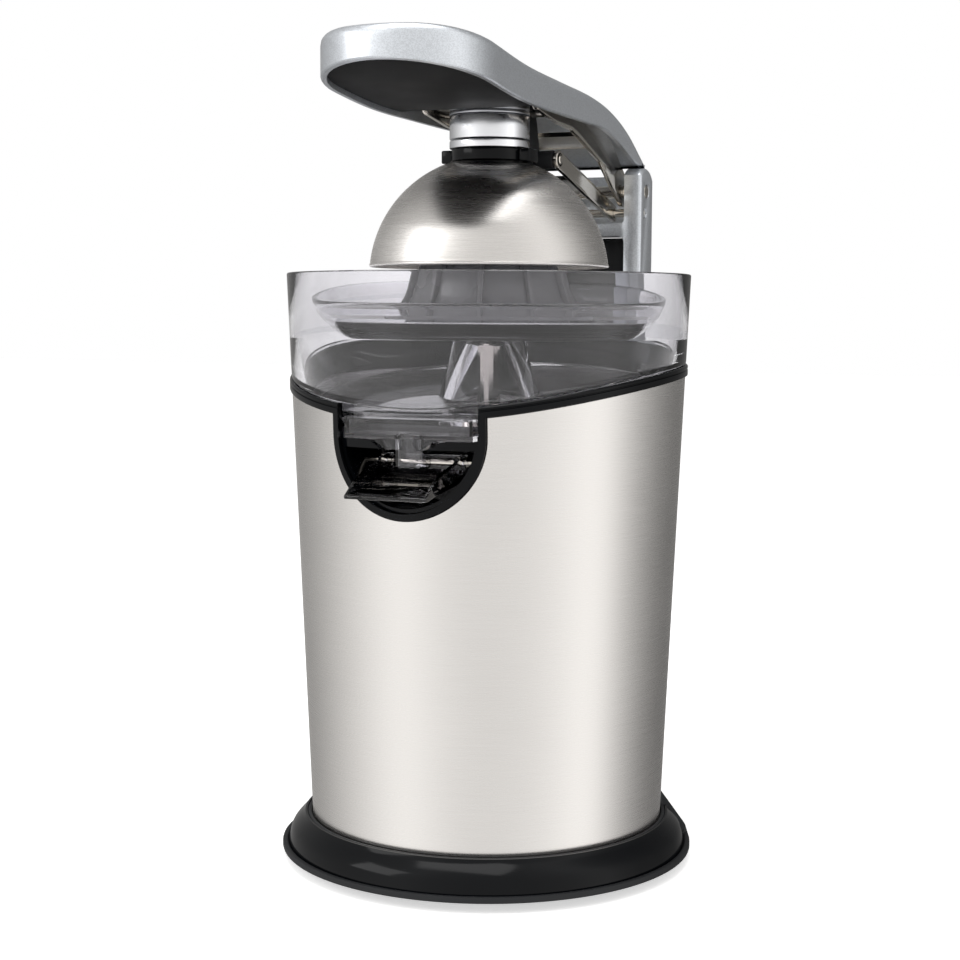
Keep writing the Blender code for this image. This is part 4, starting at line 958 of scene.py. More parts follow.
@dataclass
class Body:
    """The conical steel body with its black trim and spout opening."""

    wall: float = 0.8
    foot: float = 18.0
    trim_up: float = 1.6
    trim_down: float = 3.0
    proud: float = 0.9
    opening: float = 34.0
    opening_centre: float = 190.0
    band: float = 2.8
    recess_back: float = -47.0
    roof: float = 184.6

    def u_shape(self, half: float, top: float) -> list[Pair]:
        """The opening's outline.

        Args:
            half: half its width.
            top: its height, above or below the centre of its round bottom.

        Returns:
            Its (x, z) points.
        """
        if top < self.opening_centre:
            lean = math.degrees(math.asin((self.opening_centre - top) / half))
            return arc(0, self.opening_centre, half, 180 + lean, 360 - lean, 49)
        return arc(0, self.opening_centre, half, 180, 360, 49) + [(half, top), (-half, top)]

    def plug(self, inset: float, low: float, high: float) -> bpy.types.Object:
        """A solid cone inset from the body's surface, for cutting.

        Args:
            inset: how far it lies inside.
            low: its lowest height.
            high: its highest.

        Returns:
            The cone.
        """
        corners = [(0, low), (body_radius(low) - inset, low), (body_radius(high) - inset, high), (0, high)]
        return lathe("plug", corners, GLOSS_BLACK, 192)

    def build(self) -> None:
        """Builds the skin, the trim and the recess."""
        self.skin()
        self.trim()
        self.recess()
        dress(MATTE_BLACK, "top_deck")
        dress(BRIGHT_STEEL, "trough_pin")

    def skin(self) -> None:
        """Builds the brushed steel skin, cut out for the spout."""
        def section(angle: float) -> Sequence[Pair]:
            top = parting(angle) - self.trim_down - 0.3
            rows = [self.foot + (top - self.foot) * i / 24 for i in range(25)]
            outside = [(body_radius(z), z) for z in rows]
            return outside + [(r - self.wall, z) for r, z in (outside[-1], outside[0])]

        skin = swept_ring("steel_skin", section, STEEL, 192)
        cut = slab("opening", self.u_shape(self.opening + 0.3, 240.0), Plane.FRONT, -120, -40, STEEL)
        carved(skin, cut, crease=30.0)
        settle(skin, "root", STEEL, "body_shell")

    def trim(self) -> None:
        """Builds the trim under the bowl, with a fine groove, and its band round the opening."""
        def section(angle: float) -> Sequence[Pair]:
            line = parting(angle)
            radius = body_radius(line)
            spigot = line - self.trim_down - 8.0
            tongue = body_radius(spigot) - self.wall - 0.3
            points = [(radius + 0.3, line + self.trim_up), (radius + self.proud, line + 0.9),
                      (radius + self.proud, line + 0.1), (radius + self.proud - 0.55, line - 0.1),
                      (radius + self.proud - 0.55, line - 0.4), (radius + self.proud, line - 0.6),
                      (radius + self.proud, line - self.trim_down), (tongue, line - self.trim_down),
                      (tongue, spigot), (tongue - 1.6, spigot), (radius - 3.0, line - self.trim_down),
                      (radius - 3.0, line + self.trim_up)]
            return rounded(points, 0.28, 3)

        ring = swept_ring("bowl_trim", section, GLOSS_BLACK, 240)
        band = slab("opening_band", self.u_shape(self.opening, 198.0), Plane.FRONT, -120, -60, GLOSS_BLACK)
        carved(band, self.plug(-self.proud, 120, 220), operation="INTERSECT")
        carved(band, self.plug(3.0, 100, 240))
        carved(band, swept_ring("above", lambda a: [(60, parting(a) - 1.0), (100, parting(a) - 1.0),
                                                    (100, 260), (60, 260)], GLOSS_BLACK))
        carved(ring, band, operation="UNION")
        inner = slab("inner", self.u_shape(self.opening - self.band, 240.0), Plane.FRONT, -120, -40, GLOSS_BLACK)
        carved(ring, inner, crease=32.0)
        settle(ring, "root", GLOSS_BLACK, "top_trim")

    def recess(self) -> None:
        """Builds the black pocket behind the opening, with its cradle for the outlet."""
        outer = self.opening - self.band - 0.3
        pocket = slab("spout_pocket", self.u_shape(outer, 188.0), Plane.FRONT, -100, self.recess_back, GLOSS_BLACK)
        carved(pocket, self.plug(1.4, 120, 220), operation="INTERSECT")
        hollow = slab("hollow", self.u_shape(outer - 1.6, self.roof), Plane.FRONT, -120, self.recess_back - 1.6,
                      GLOSS_BLACK, 1.2)
        low = self.roof - 1.0
        cradle = [(-16.0, 200.0), (-16.0, 188.0), (-8.8, low), (8.8, low), (16.0, 188.0), (16.0, 200.0)]
        carved(pocket, hollow, slab("cradle", cradle, Plane.FRONT, -120, -66.2, GLOSS_BLACK), crease=32.0)
        settle(pocket, "root", GLOSS_BLACK, "spout_recess")


@dataclass
class Bowl:
    """The clear bowl, its strainer ring and the steel dish."""

    rim: float = 87.5
    rim_top: float = 255.7
    wall: float = 2.2
    floor: float = 201.0
    fall: float = 7.0
    floor_edge: float = 76.0
    hub: float = 7.4
    ring_radius: float = 76.8
    ring_top: float = 242.0
    dish_radius: float = 70.0
    dish_bottom: float = 225.0
    sump_half: float = 28.5

    def floor_at(self, radius: float, angle: float) -> float:
        """Height of the sloping floor."""
        return self.floor - self.fall * radius / self.floor_edge * math.cos(angle)

    def dish_at(self, radius: float) -> float:
        """Height of the dish's underside at a radius."""
        return self.dish_bottom + 9.5 * (radius / self.dish_radius) ** 6

    def build(self) -> None:
        """Builds the bowl and what stands in it."""
        self.bowl()
        self.ring()
        self.dish()

    def bowl(self) -> None:
        """Builds the clear bowl with its sump and outlet."""
        neck = self.hub + 3.2
        shoulder = neck + 4.0
        foot = shoulder + 7.0
        ledge = self.dish_bottom - 0.3

        def section(angle: float) -> Sequence[Pair]:
            low = parting(angle) + 1.9
            spigot = body_radius(low) - 3.9
            points = [(self.rim, self.rim_top - 0.2), (self.rim + 0.0, self.rim_top - 3.0), (body_radius(low), low),
                      (spigot, low), (spigot, self.floor_at(spigot, angle) + 2.0),
                      (spigot - 4.0, self.floor_at(spigot, angle) - self.wall),
                      (foot - 2 * self.wall, self.floor_at(foot, angle) - self.wall),
                      (self.hub, ledge - 5.0), (self.hub, 226.0), (neck, 226.0), (neck, ledge), (shoulder, ledge),
                      (foot, self.floor_at(foot, angle)), (self.floor_edge, self.floor_at(self.floor_edge, angle)),
                      (self.floor_edge + 2.6, self.floor_at(self.floor_edge, angle) + 4.5),
                      (body_radius(228.0) - self.wall, 228.0), (self.rim - self.wall, self.rim_top - 0.2)]
            return rounded(points[:1] + points[2:], 0.9, 4)

        bowl = swept_ring("clear_bowl", section, SMOKE, 160)
        low = 188.3
        floor_front = self.floor_at(self.floor_edge, 0)
        inner_end = -59.0
        plug = Body().plug
        sides = [(-self.sump_half, low), (self.sump_half, low), (self.sump_half, floor_front + 3),
                 (-self.sump_half, floor_front + 3)]
        sump = slab("sump", sides, Plane.FRONT, -100, inner_end, SMOKE)
        carved(sump, plug(0.8, 120, 220), operation="INTERSECT")
        spread = 7.9
        vee = [(-14.6, low + 0.5), (-spread, 184.4), (spread, 184.4), (14.6, low + 0.5)]
        funnel = slab("funnel", vee, Plane.FRONT, -100, -67.4, SMOKE)
        carved(funnel, plug(0.8, 120, 220), operation="INTERSECT")
        tube = lathe("outlet", [(0, 177), (7.0, 177), (7.6, 177.6), (7.6, low + 1.5), (0, low + 1.5)], SMOKE, 48,
                     (0, -75))
        carved(bowl, sump, funnel, tube, operation="UNION")
        room = [(-self.sump_half + 2, low + 2), (self.sump_half - 2, low + 2),
                (self.sump_half - 2, floor_front + 2), (-self.sump_half + 2, floor_front + 2)]
        hollow = slab("hollow", room, Plane.FRONT, -100, inner_end - 2, SMOKE)
        carved(hollow, plug(2.8, 120, 220), operation="INTERSECT")
        bore = lathe("bore", [(0, 170), (6.0, 170), (6.0, low + 3), (0, low + 3)], SMOKE, 48, (0, -75))
        carved(bowl, hollow, bore, crease=28.0)
        settle(bowl, "root", SMOKE, "juice_bowl")
        dress(RUBBER, "shaft_seal")

    def ring(self) -> None:
        """Builds the clear ring that carries the dish, with its lip and a step."""
        rim, top = self.ring_radius, self.ring_top
        under = [(r, self.dish_at(r) - 2.1) for r in (70.7, 68.4, 66, 63.5, 61)]
        over = [(r, self.dish_at(r) - 0.3) for r in (61, 63.5, 66, 68.4, 70.7)]
        outside = [(rim, top), (rim, top - 1.2), (rim - 0.6, top - 2.4), (rim - 3.0, top - 6.4)]
        inside = [(rim - 4.2, top - 4.6), (rim - 2.2, top)]
        ring = lathe("strainer_carrier", rounded(outside + under + over + inside, 0.5, 3), SMOKE, 160)
        settle(ring, "root", SMOKE, "strainer_ring")

    def dish(self) -> None:
        """Builds the steel dish, with two rings of slots."""
        radii = [self.dish_radius, 68, 66, 63.5, 61, 57.5, 54, 48, 42, 30, 18, 11.2]
        lower = [(r, self.dish_at(r)) for r in radii]
        upper = [(r, self.dish_at(r) + 0.7) for r in reversed(radii)]
        dish = lathe("steel_dish", lower + upper, DISH_STEEL, 144)
        for count, inner, outer, first in ((48, 47.5, 58.5, 0.0), (36, 24.0, 38.0, 5.0)):
            slot = slab("slot", arc(outer, 0, 0.75, -90, 90, 5) + arc(inner, 0, 0.75, 90, 270, 5), Plane.PLAN,
                        220, 240, SPUN_STEEL)
            carved(dish, ring_of(slot, count, 0.0, first))
        settle(dish, "root", DISH_STEEL, "strainer_dish")


@dataclass
class Cone:
    """The reaming cone on its shaft, and the drive under it."""

    radius: float = 45.5
    foot: float = 231.3
    top: float = 285.0
    ribs: int = 10

    def build(self) -> None:
        """Builds the cone and dresses the drive."""
        self.cone()
        dress(BRIGHT_STEEL, "drive_shaft", "idler_axle", "return_spring")
        dress(NYLON, "main_gear", "idler_gear", "switch_plunger")
        dress(BRONZE, "motor_pinion", "shaft_bushing", "thrust_collar")
        dress(COPPER, "motor_rotor", "motor_stator")
        dress(PLAIN_STEEL, "motor_can")
        dress(MATTE_BLACK, "motor_end_cap", "gearbox_cover", "chassis_frame", "microswitch")

    def cone(self) -> None:
        """Builds the hollow cone with its ribs."""
        drops = [(5.0, 1.0), (14.0, 7.0), (24.0, 19.0), (30.5, 33.0), (34.5, 44.0), (39.5, 48.6)]
        outer = [(r, self.top - drop) for r, drop in drops]
        skirt = [(self.radius, self.foot + 2.3), (self.radius, self.foot), (self.radius - 2.1, self.foot)]
        inner = [(r - 2.3, z - 1.7) for r, z in reversed(outer[1:])]
        core = [(8.2, self.top - 9.5), (8.2, self.foot + 1.1), (5.3, self.foot + 1.1), (5.3, 262.3), (0, 262.3)]
        face = smooth_line([(0.0, self.top)] + outer, 4)
        profile = face + rounded([face[-1]] + skirt + [inner[0]], 0.6, 3, closed=False)[1:-1] + inner + core
        cone = lathe("ribbed_cone", [(max(0.0, r), z) for r, z in profile], CONE_PLASTIC, 120, crease=50.0)
        ridge = smooth_line([(2.0, self.top - 0.4)] + [(r + 2.6, z + 0.4) for r, z in outer[1:]], 4)
        root = [(r - 1.0, z - 0.6) for r, z in reversed(outer[1:])] + [(1.0, self.top - 3.0)]
        rib = slab("rib", ridge + root, Plane.FRONT, -1.1, 1.1, CONE_PLASTIC, 0.45)
        carved(cone, ring_of(rib, self.ribs), operation="UNION", crease=38.0)
        settle(cone, "cone", CONE_PLASTIC, "reamer_cone")


@dataclass
class Trough:
    """The small clear trough that tips under the outlet."""

    y: float = -63.0
    z: float = 178.5
    half: float = 18.0
    wall: float = 1.6

    def build(self) -> None:
        """Builds the trough on its pivot."""
        def place(points: Sequence[Pair]) -> list[Pair]:
            return [(self.y + u, self.z + v) for u, v in points]

        side = [(-3, 3), (2.5, 3), (3.2, -2.5), (1, -6), (-7, -8.5), (-21, -10.3), (-36, -13), (-36.6, -11.7),
                (-29, -6.5), (-21, -3), (-9, 0.1)]
        trough = slab("spout_trough", rounded(place(side), 1.2, 4), Plane.SIDE, -self.half, self.half, SMOKE, 0.4)
        channel = [(1.5, 12), (1.5, -3), (-1, -4.7), (-8, -6.7), (-21.5, -8.5), (-38, -11.3), (-38, 12)]
        inside = self.half - self.wall
        carved(trough, slab("channel", place(channel), Plane.SIDE, -inside, inside, SMOKE))
        across = arc(self.y, self.z, 1.8, 0, 345, 24)
        carved(trough, slab("pin way", across, Plane.SIDE, -34, 34, SMOKE), crease=30.0)
        settle(trough, "trough", SMOKE, "drip_trough")


@dataclass
class Press:
    """The pressing dome, its neck and collar, and the arm that carries them."""

    radius: float = 52.0
    centre: float = 254.1
    bottom: float = 258.1
    flat: float = 303.3
    neck_radius: float = 16.5
    neck_top: float = 308.7
    collar_radius: float = 17.3
    collar_core: float = 12.0
    collar_top: float = 331.0
    hang_point: Pair = (20.0, 326.0)
    open_pin: Pair = (26.0, 306.0)

    def build(self) -> None:
        """Builds every piece of the press and lets it ride on the press body."""
        self.dome()
        self.neck()
        self.collar()
        self.arm()
        settle(rod("open_pin", 2.0, 23.1, *self.open_pin, BRIGHT_STEEL), "press", BRIGHT_STEEL, "link_pin_front")

    def dome(self) -> None:
        """Builds the spun dome with a rolled rim."""
        inner = self.radius - 1.0
        crown = math.degrees(math.asin((self.flat - self.centre) / self.radius))
        low = math.degrees(math.asin((self.bottom - self.centre) / self.radius))
        inner_crown = math.degrees(math.asin((self.flat - 1.0 - self.centre) / inner))
        outside = arc(0, self.centre, self.radius, crown, low + 3.2, 40)
        rim = arc(self.radius - 0.95, self.bottom + 1.0, 0.95, 55, -125, 8)
        inside = arc(0, self.centre, inner, low + 2.0, inner_crown, 28)
        profile = [(10.0, self.flat)] + outside + rim + inside + [(10.0, self.flat - 1.0)]
        dome = lathe("spun_dome", profile, SPUN_STEEL, 160)
        settle(dome, "press", SPUN_STEEL, "press_dome")
        nut = rounded([(10.3, 302.0), (15.0, 302.0), (15.0, 298.0), (10.3, 298.0)], 0.5, 3)
        ring = lathe("dome_nut", nut, MATTE_BLACK, 64)
        notch = slab("notch", [(13.4, -1.0), (17.0, -1.0), (17.0, 1.0), (13.4, 1.0)], Plane.PLAN, 290, 301,
                     MATTE_BLACK)
        carved(ring, ring_of(notch, 8))
        settle(ring, "press", MATTE_BLACK, "dome_retainer")

    def neck(self) -> None:
        """Builds the black neck with its two lugs."""
        seat = self.flat + 0.3
        top = self.neck_top
        side = rounded([(9.7, seat), (self.neck_radius, seat), (self.neck_radius, top), (0.0, top)], 0.7, 4, False)
        neck = lathe("black_neck", [(0.0, 295.3), (9.7, 295.3)] + side, GLOSS_BLACK, 96)
        crown = math.degrees(math.asin((self.flat - self.centre) / self.radius))
        ball = arc(0, self.centre, self.radius + 0.3, 40, crown, 12)
        for side_sign in (-1, 1):
            middle = 18.0 * side_sign
            outline = rounded([(middle - 3, -5), (middle + 3, -5), (middle + 3, 5), (middle - 3, 5)], 1.4, 5)
            lug = slab("lug", outline, Plane.PLAN, self.flat - 0.2, top, GLOSS_BLACK, 0.6)
            clear = lathe("clear", [(0, ball[0][1])] + ball + [(0, seat - 0.02)], GLOSS_BLACK, 96)
            carved(lug, clear)
            carved(neck, lug, operation="UNION", crease=32.0)
        settle(neck, "press", GLOSS_BLACK, "press_neck")

    def collar(self) -> None:
        """Builds the three stacked rings, each open at the back for the arm."""
        low = self.neck_top + 0.3
        light = (low, low + 3.3)
        main = (light[1] + 0.6, light[1] + 10.6)
        upper = (main[1] + 0.3, self.collar_top)
        bore = self.collar_core + 0.3
        for name, (bottom, top), look, groove in (("light_ring", light, SATIN_METAL, False),
                                                  ("main_ring", main, SATIN_METAL, False),
                                                  ("upper_ring", upper, DARK_METAL, True)):
            far = self.collar_radius
            points = [(far, bottom), (far, top), (bore, top), (bore, bottom)]
            if groove:
                middle = bottom + 1.4
                points[1:1] = [(far, middle), (far - 0.35, middle + 0.2), (far - 0.35, middle + 0.6),
                               (far, middle + 0.8)]
            ring = lathe("collar_" + name, rounded(points, 0.45, 4), look, 128)
            way = [(-11.5, 0.0), (11.5, 0.0), (11.5, 30.0), (-11.5, 30.0)]
            carved(ring, slab("way", way, Plane.PLAN, 300, 340, look), crease=35.0)
            settle(ring, "press", look, {"light_ring": "collar_light_ring", "main_ring": "collar_main_ring",
                                         "upper_ring": "collar_upper_ring"}[name])

    def arm(self) -> None:
        """Builds the black arm behind the collar."""
        y, z = self.open_pin
        behind = self.neck_radius + 1.7
        low = self.neck_top + 0.6
        top = self.collar_top - 0.6
        outline = [(1, top), (self.hang_point[0] + 1, top), (self.hang_point[0] + 6, self.hang_point[1] + 1.5),
                   (y + 5, z + 3), (y + 4, z - 3), (y - 3, z - 3.6), (behind, z - 1.5), (behind, low), (1, low)]
        arm = slab("carrier", rounded(outline, 1.5, 4), Plane.SIDE, -11, 11, MATTE_BLACK, 0.7)
        core = lathe("core", [(0, self.neck_top + 0.3), (12, self.neck_top + 0.3), (12, top + 0.3), (0, top + 0.3)],
                     MATTE_BLACK, 64)
        boss = slab("boss", arc(y, z, 4.0, 0, 348, 32), Plane.SIDE, -19.9, 19.9, MATTE_BLACK, 0.4)
        carved(arm, core, boss, operation="UNION")
        for centre in (self.hang_point, self.open_pin):
            carved(arm, slab("hole", arc(*centre, 2.3, 0, 348, 32), Plane.SIDE, -24, 24, MATTE_BLACK), crease=30.0)
        settle(arm, "press", MATTE_BLACK, "carrier_arm")


@dataclass
class Lever:
    """The lever: painted cover, dark underside and the steel channel inside."""

    half: float = 36.0
    nose: float = -75.0
    rear: float = 100.5
    wall: float = 2.4
    edge: float = 3.6  # rounding along the top of the flanks
    pivot: Pair = (98.0, 296.0)
    hang_point: Pair = (20.0, 326.0)
    plate_out: float = 27.0
    plate: float = 2.4

    def top_line(self) -> list[Pair]:
        """The cover's top in side view, from nose to rear."""
        points = [(-111, 345.5), (-108, 347), (-98, 346.6), (-75, 343.4), (-40, 338.6), (0, 336), (28, 334.4),
                  (50, 331.5), (66, 327.4), (80, 322), (92, 315.6), (100.5, 310.8)]
        return smooth_line(points, 6)

    def lower_line(self) -> list[Pair]:
        """The flanks' lower edge, from nose to rear."""
        points = [(-111, 334), (-100, 331.6), (-75, 327), (-40, 323.2), (0, 322), (28, 321.4), (44, 321),
                  (60, 318), (78, 312.6), (90, 308.6), (100.5, 308.4)]
        return smooth_line(points, 6)

    @staticmethod
    def height(line: Sequence[Pair], y: float) -> float:
        """Height of a side line at a distance along the lever.

        Args:
            line: its points, in order.
            y: the distance.

        Returns:
            The height.
        """
        for (a, low), (b, high) in zip(line, line[1:]):
            if a <= y <= b:
                return low + (high - low) * (y - a) / (b - a)
        return line[0][1] if y < line[0][0] else line[-1][1]

    def build(self) -> None:
        """Builds every piece of the lever and lets it ride on the lever body."""
        self.cover()
        self.underside()
        self.channel()
        settle(rod("hanging_pin", 2.0, 27.6, *self.hang_point, BRIGHT_STEEL), "lever", BRIGHT_STEEL, "carrier_pin")

    def station(self, work: bmesh.types.BMesh, turn: float, y: float) -> list[bmesh.types.BMVert]:
        """One section of the cover: over the outside, then back under the inside.

        Args:
            work: the mesh.
            turn: the angle round the nose, in degrees, or 0 on the straight flanks.
            y: the distance along the lever there.

        Returns:
            The section's points, as a closed loop.
        """
        top, low = self.top_line(), self.lower_line()
        lean, reach = math.radians(turn), self.half

        def flank(inset: float, drop: float, from_top: bool, side: int) -> bmesh.types.BMVert:
            far = reach - inset
            place = self.nose - far * math.sin(lean) if turn else y
            line = top if from_top else low
            high = self.height(line, place) - drop
            return work.verts.new((side * far * math.cos(lean), place, high))

        bend = [(self.edge * (1 - math.cos(math.radians(a))), self.edge * (1 - math.sin(math.radians(a))))
                for a in (0, 18, 36, 54, 72, 90)]
        outside = [(0.5, 0.0, False), (0.0, -0.5, False)] + [(d, drop, True) for d, drop in bend]
        spread = [(self.edge + (reach - self.edge) * t, 0.0, True) for t in (0.3, 0.6)]
        inside = [(self.wall + max(0.0, self.edge - self.wall) * t, self.wall + (1 - t) * 1.6, True)
                  for t in (1.0, 0.5, 0.0)]
        inside += [(self.wall, 0.0, False)]
        loop = [flank(*spec, -1) for spec in outside + spread]
        loop += [flank(*spec, 1) for spec in reversed(outside + spread)]
        loop += [flank(*spec, 1) for spec in reversed(inside)]
        loop += [flank(*spec, -1) for spec in inside]
        return loop

    def cover(self) -> None:
        """Builds the painted cover as one lofted shell."""
        work = bmesh.new()
        rows = [self.station(work, turn, 0.0) for turn in (90, 86, 81, 75, 68, 60, 52, 44, 36, 28, 20, 13, 6)]
        steps = 44
        rows += [self.station(work, 0.0, self.nose + (self.rear - self.nose) * i / steps) for i in range(steps + 1)]
        size = len(rows[0])
        for here, there in zip(rows, rows[1:]):
            for j in range(size):
                k = (j + 1) % size
                work.faces.new((here[j], here[k], there[k], there[j]))
        work.faces.new(rows[-1])
        bmesh.ops.remove_doubles(work, verts=work.verts, dist=0.01)
        bmesh.ops.dissolve_degenerate(work, edges=work.edges, dist=0.005)
        cover = finished("lever_cover", work, SILVER_PAINT, 35.0)
        settle(cover, "lever", SILVER_PAINT, "handle_cover")

    def underside(self) -> None:
        """Builds the dark panel set into the lever's front."""
        rear = -20.0
        low_line = [(y, z) for y, z in self.lower_line() if y <= rear] + [(rear, self.height(self.lower_line(), rear))]
        low = [(y, z + 2.0) for y, z in low_line]
        high = [(y, z + 3.8) for y, z in reversed(low_line)]
        panel = slab("lever_lining", low + high, Plane.SIDE, -self.half, self.half, GREY_LINING)
        inset = self.wall + 0.3
        plan = arc(0, self.nose, self.half - inset, 180, 360, 61) + [(self.half - inset, rear), (inset - self.half, rear)]
        carved(panel, slab("plan", plan, Plane.PLAN, 300, 360, GREY_LINING), operation="INTERSECT", crease=35.0)
        soften(panel, 0.35)
        settle(panel, "lever", GREY_LINING, "handle_underside")

    def channel(self) -> None:
        """Builds the two polished plates and their webs."""
        above = [(-60, 331), (-60, 334.5), (0, 333), (28, 331.2), (50, 328), (66, 323.6), (80, 318), (92, 309)]
        below = [(82, 297.5), (66, 308), (50, 313), (30, 319), (12, 320.5), (-10, 324), (-18, 329)]
        eye = arc(*self.pivot, 7.0, 50, -130, 25)
        outline = rounded(above, 3.0, 5, False) + eye + rounded(below, 4.0, 5, False)
        channel = slab("polished_channel", outline, Plane.SIDE, self.plate_out - self.plate, self.plate_out,
                       BRIGHT_STEEL, 0.5)
        other = slab("left", outline, Plane.SIDE, -self.plate_out, self.plate - self.plate_out, BRIGHT_STEEL, 0.5)
        inner = self.plate_out - 0.5 * self.plate
        webs = [slab("web", corners, Plane.SIDE, -inner, inner, BRIGHT_STEEL) for corners in (
            [(-58, 332), (-58, 333.8), (-24, 333), (-24, 331.2)], [(56, 319), (56, 321), (68, 316.5), (68, 314.5)])]
        carved(channel, other, *webs, operation="UNION")
        for centre, hole in ((self.pivot, 3.3), (self.hang_point, 2.3)):
            carved(channel, slab("hole", arc(*centre, hole, 0, 350, 36), Plane.SIDE, -40, 40, BRIGHT_STEEL), crease=30.0)
        settle(channel, "lever", BRIGHT_STEEL, "lever_frame")


def soften(piece: bpy.types.Object, width: float) -> bpy.types.Object:
    """Rounds a piece's sharp edges.

    Args:
        piece: the piece.
        width: how far, in millimetres.

    Returns:
        The piece.
    """
    edges = piece.modifiers.new("Soft edges", "BEVEL")
    edges.width = width * MM
    edges.segments = 2
    edges.limit_method = "ANGLE"
    edges.angle_limit = math.radians(35)
    edges.use_clamp_overlap = True
    baked(piece)
    piece.data.shade_smooth()
    piece.data.set_sharp_from_angle(angle=math.radians(42))
    return piece


@dataclass
class Rear:
    """What stands behind: the post, its cover and pins, and the lower link."""

    half: float = 38.0
    wall: float = 3.0
    front: float = 90.0
    back: float = 107.5
    foot: float = 24.8
    straight: float = 262.0
    shelf: float = 256.0
    window_half: float = 29.5
    crossbar: Pair = (275.0, 281.0)
    pivot: Pair = (98.0, 296.0)
    link_pivot: Pair = (96.4, 286.1)
    open_pin: Pair = (26.0, 306.0)
    knuckle: float = 11.0

    def back_at(self, z: float) -> float:
        """Where the post's back is at a height."""
        foot = body_radius(self.foot) + 15.0
        return foot + (self.back - foot) * min(1.0, (z - self.foot) / (self.straight - self.foot))

    def build(self) -> None:
        """Builds the post, its cover, its pins and the link."""
        self.post()
        self.cover()
        self.link()
        settle(rod("main_pin", 3.0, 37.9, *self.pivot, BRIGHT_STEEL), "root", BRIGHT_STEEL, "hinge_pin")
        settle(rod("rear_link_pin", 2.0, 37.0, *self.link_pivot, BRIGHT_STEEL), "root", BRIGHT_STEEL, "link_pin_rear")

    def post(self) -> None:
        """Builds the painted post with its window and its bay for the links."""
        y, z = self.pivot
        shoulder = math.degrees(math.acos((self.back - y) / self.knuckle))
        front = math.degrees(math.acos((self.front - y) / self.knuckle))
        side = [(60, self.foot), (self.back_at(self.foot), self.foot), (self.back, self.straight)]
        side += arc(y, z, self.knuckle, shoulder, front, 25) + [(self.front, self.shelf), (60, self.shelf)]
        post = slab("rear_post", side, Plane.SIDE, -self.half, self.half, SILVER_PAINT, 1.6)
        plug = Body().plug
        carved(post, plug(-0.6, 0.0, 185.5), plug(-1.5, 185.0, 270.0))
        inner = self.half - self.wall
        room = [(body_radius(34) + 5, 34), (body_radius(256) + 6.5, 250), (self.front + 4, self.straight),
                (self.front + 4, self.crossbar[0]), (120, self.crossbar[0]), (120, 34)]
        carved(post, slab("room", room, Plane.SIDE, -inner, inner, SILVER_PAINT))
        window = rounded([(-self.window_half, 205), (self.window_half, 205), (self.window_half, self.crossbar[0]),
                          (-self.window_half, self.crossbar[0])], 3.0, 6)
        carved(post, slab("window", window, Plane.FRONT, 70, self.front + 6, SILVER_PAINT))
        bay = rounded([(-self.window_half, self.crossbar[1]), (self.window_half, self.crossbar[1]),
                       (self.window_half, 320), (-self.window_half, 320)], 2.0, 5)
        carved(post, slab("bay", bay, Plane.FRONT, 70, self.back - 2, SILVER_PAINT))
        for centre, hole in ((self.pivot, 3.3), (self.link_pivot, 2.3)):
            carved(post, slab("hole", arc(*centre, hole, 0, 350, 36), Plane.SIDE, -50, 50, SILVER_PAINT))
        soften(post, 0.45)
        settle(post, "root", SILVER_PAINT, "post")

    def cover(self) -> None:
        """Builds the matte plate that closes the post behind, with cooling slots."""
        heights = [34.3, self.straight, self.crossbar[0] - 0.3]
        outer = [(self.back_at(z), z) for z in heights]
        inner_face = [(self.back_at(z) - 2.2, z) for z in reversed(heights)]
        reach = self.half - self.wall - 0.3
        plate = slab("rear_plate", outer + inner_face, Plane.SIDE, -reach, reach, MATTE_BLACK, 0.4)
        tree = row_tree()
        slot = slab("slot", arc(-14, 46, 1.1, 90, 270, 7) + arc(14, 46, 1.1, -90, 90, 7), Plane.FRONT, 85, 115,
                    MATTE_BLACK)
        rows = slot.modifiers.new("Rows", "NODES")
        rows.node_group = tree
        for item in tree.interface.items_tree:
            if item.in_out == "INPUT" and item.name in ("Count", "Step", "Material"):
                value = {"Count": 8, "Step": 5.5 * MM, "Material": MATTE_BLACK.make()}[item.name]
                rows[item.identifier] = value
        carved(plate, baked(slot), crease=30.0)
        settle(plate, "root", MATTE_BLACK, "post_rear_cover")

    def link(self) -> None:
        """Builds the polished lower link with its web."""
        (y0, z0), (y1, z1) = self.open_pin, self.link_pivot
        lean = math.degrees(math.atan2(z1 - z0, y1 - y0))
        outline = arc(y1, z1, 4.0, lean - 90, lean + 90, 19) + arc(y0, z0, 4.0, lean + 90, lean + 270, 19)
        link = slab("polished_link", outline, Plane.SIDE, 20.5, 22.5, BRIGHT_STEEL, 0.4)
        other = slab("left", outline, Plane.SIDE, -22.5, -20.5, BRIGHT_STEEL, 0.4)
        length = math.hypot(y1 - y0, z1 - z0)
        u, v = (y1 - y0) / length, (z1 - z0) / length
        corners = [(y0 + u * d - v * h, z0 + v * d + u * h) for d, h in ((30, 1.6), (50, 1.6), (50, 3.6), (30, 3.6))]
        carved(link, other, slab("web", corners, Plane.SIDE, -21.5, 21.5, BRIGHT_STEEL), operation="UNION")
        for centre, hole in ((self.open_pin, 3.0), (self.link_pivot, 2.3)):
            carved(link, slab("hole", arc(*centre, hole, 0, 350, 36), Plane.SIDE, -40, 40, BRIGHT_STEEL), crease=30.0)
        settle(link, "lower_link", BRIGHT_STEEL, "lower_link")


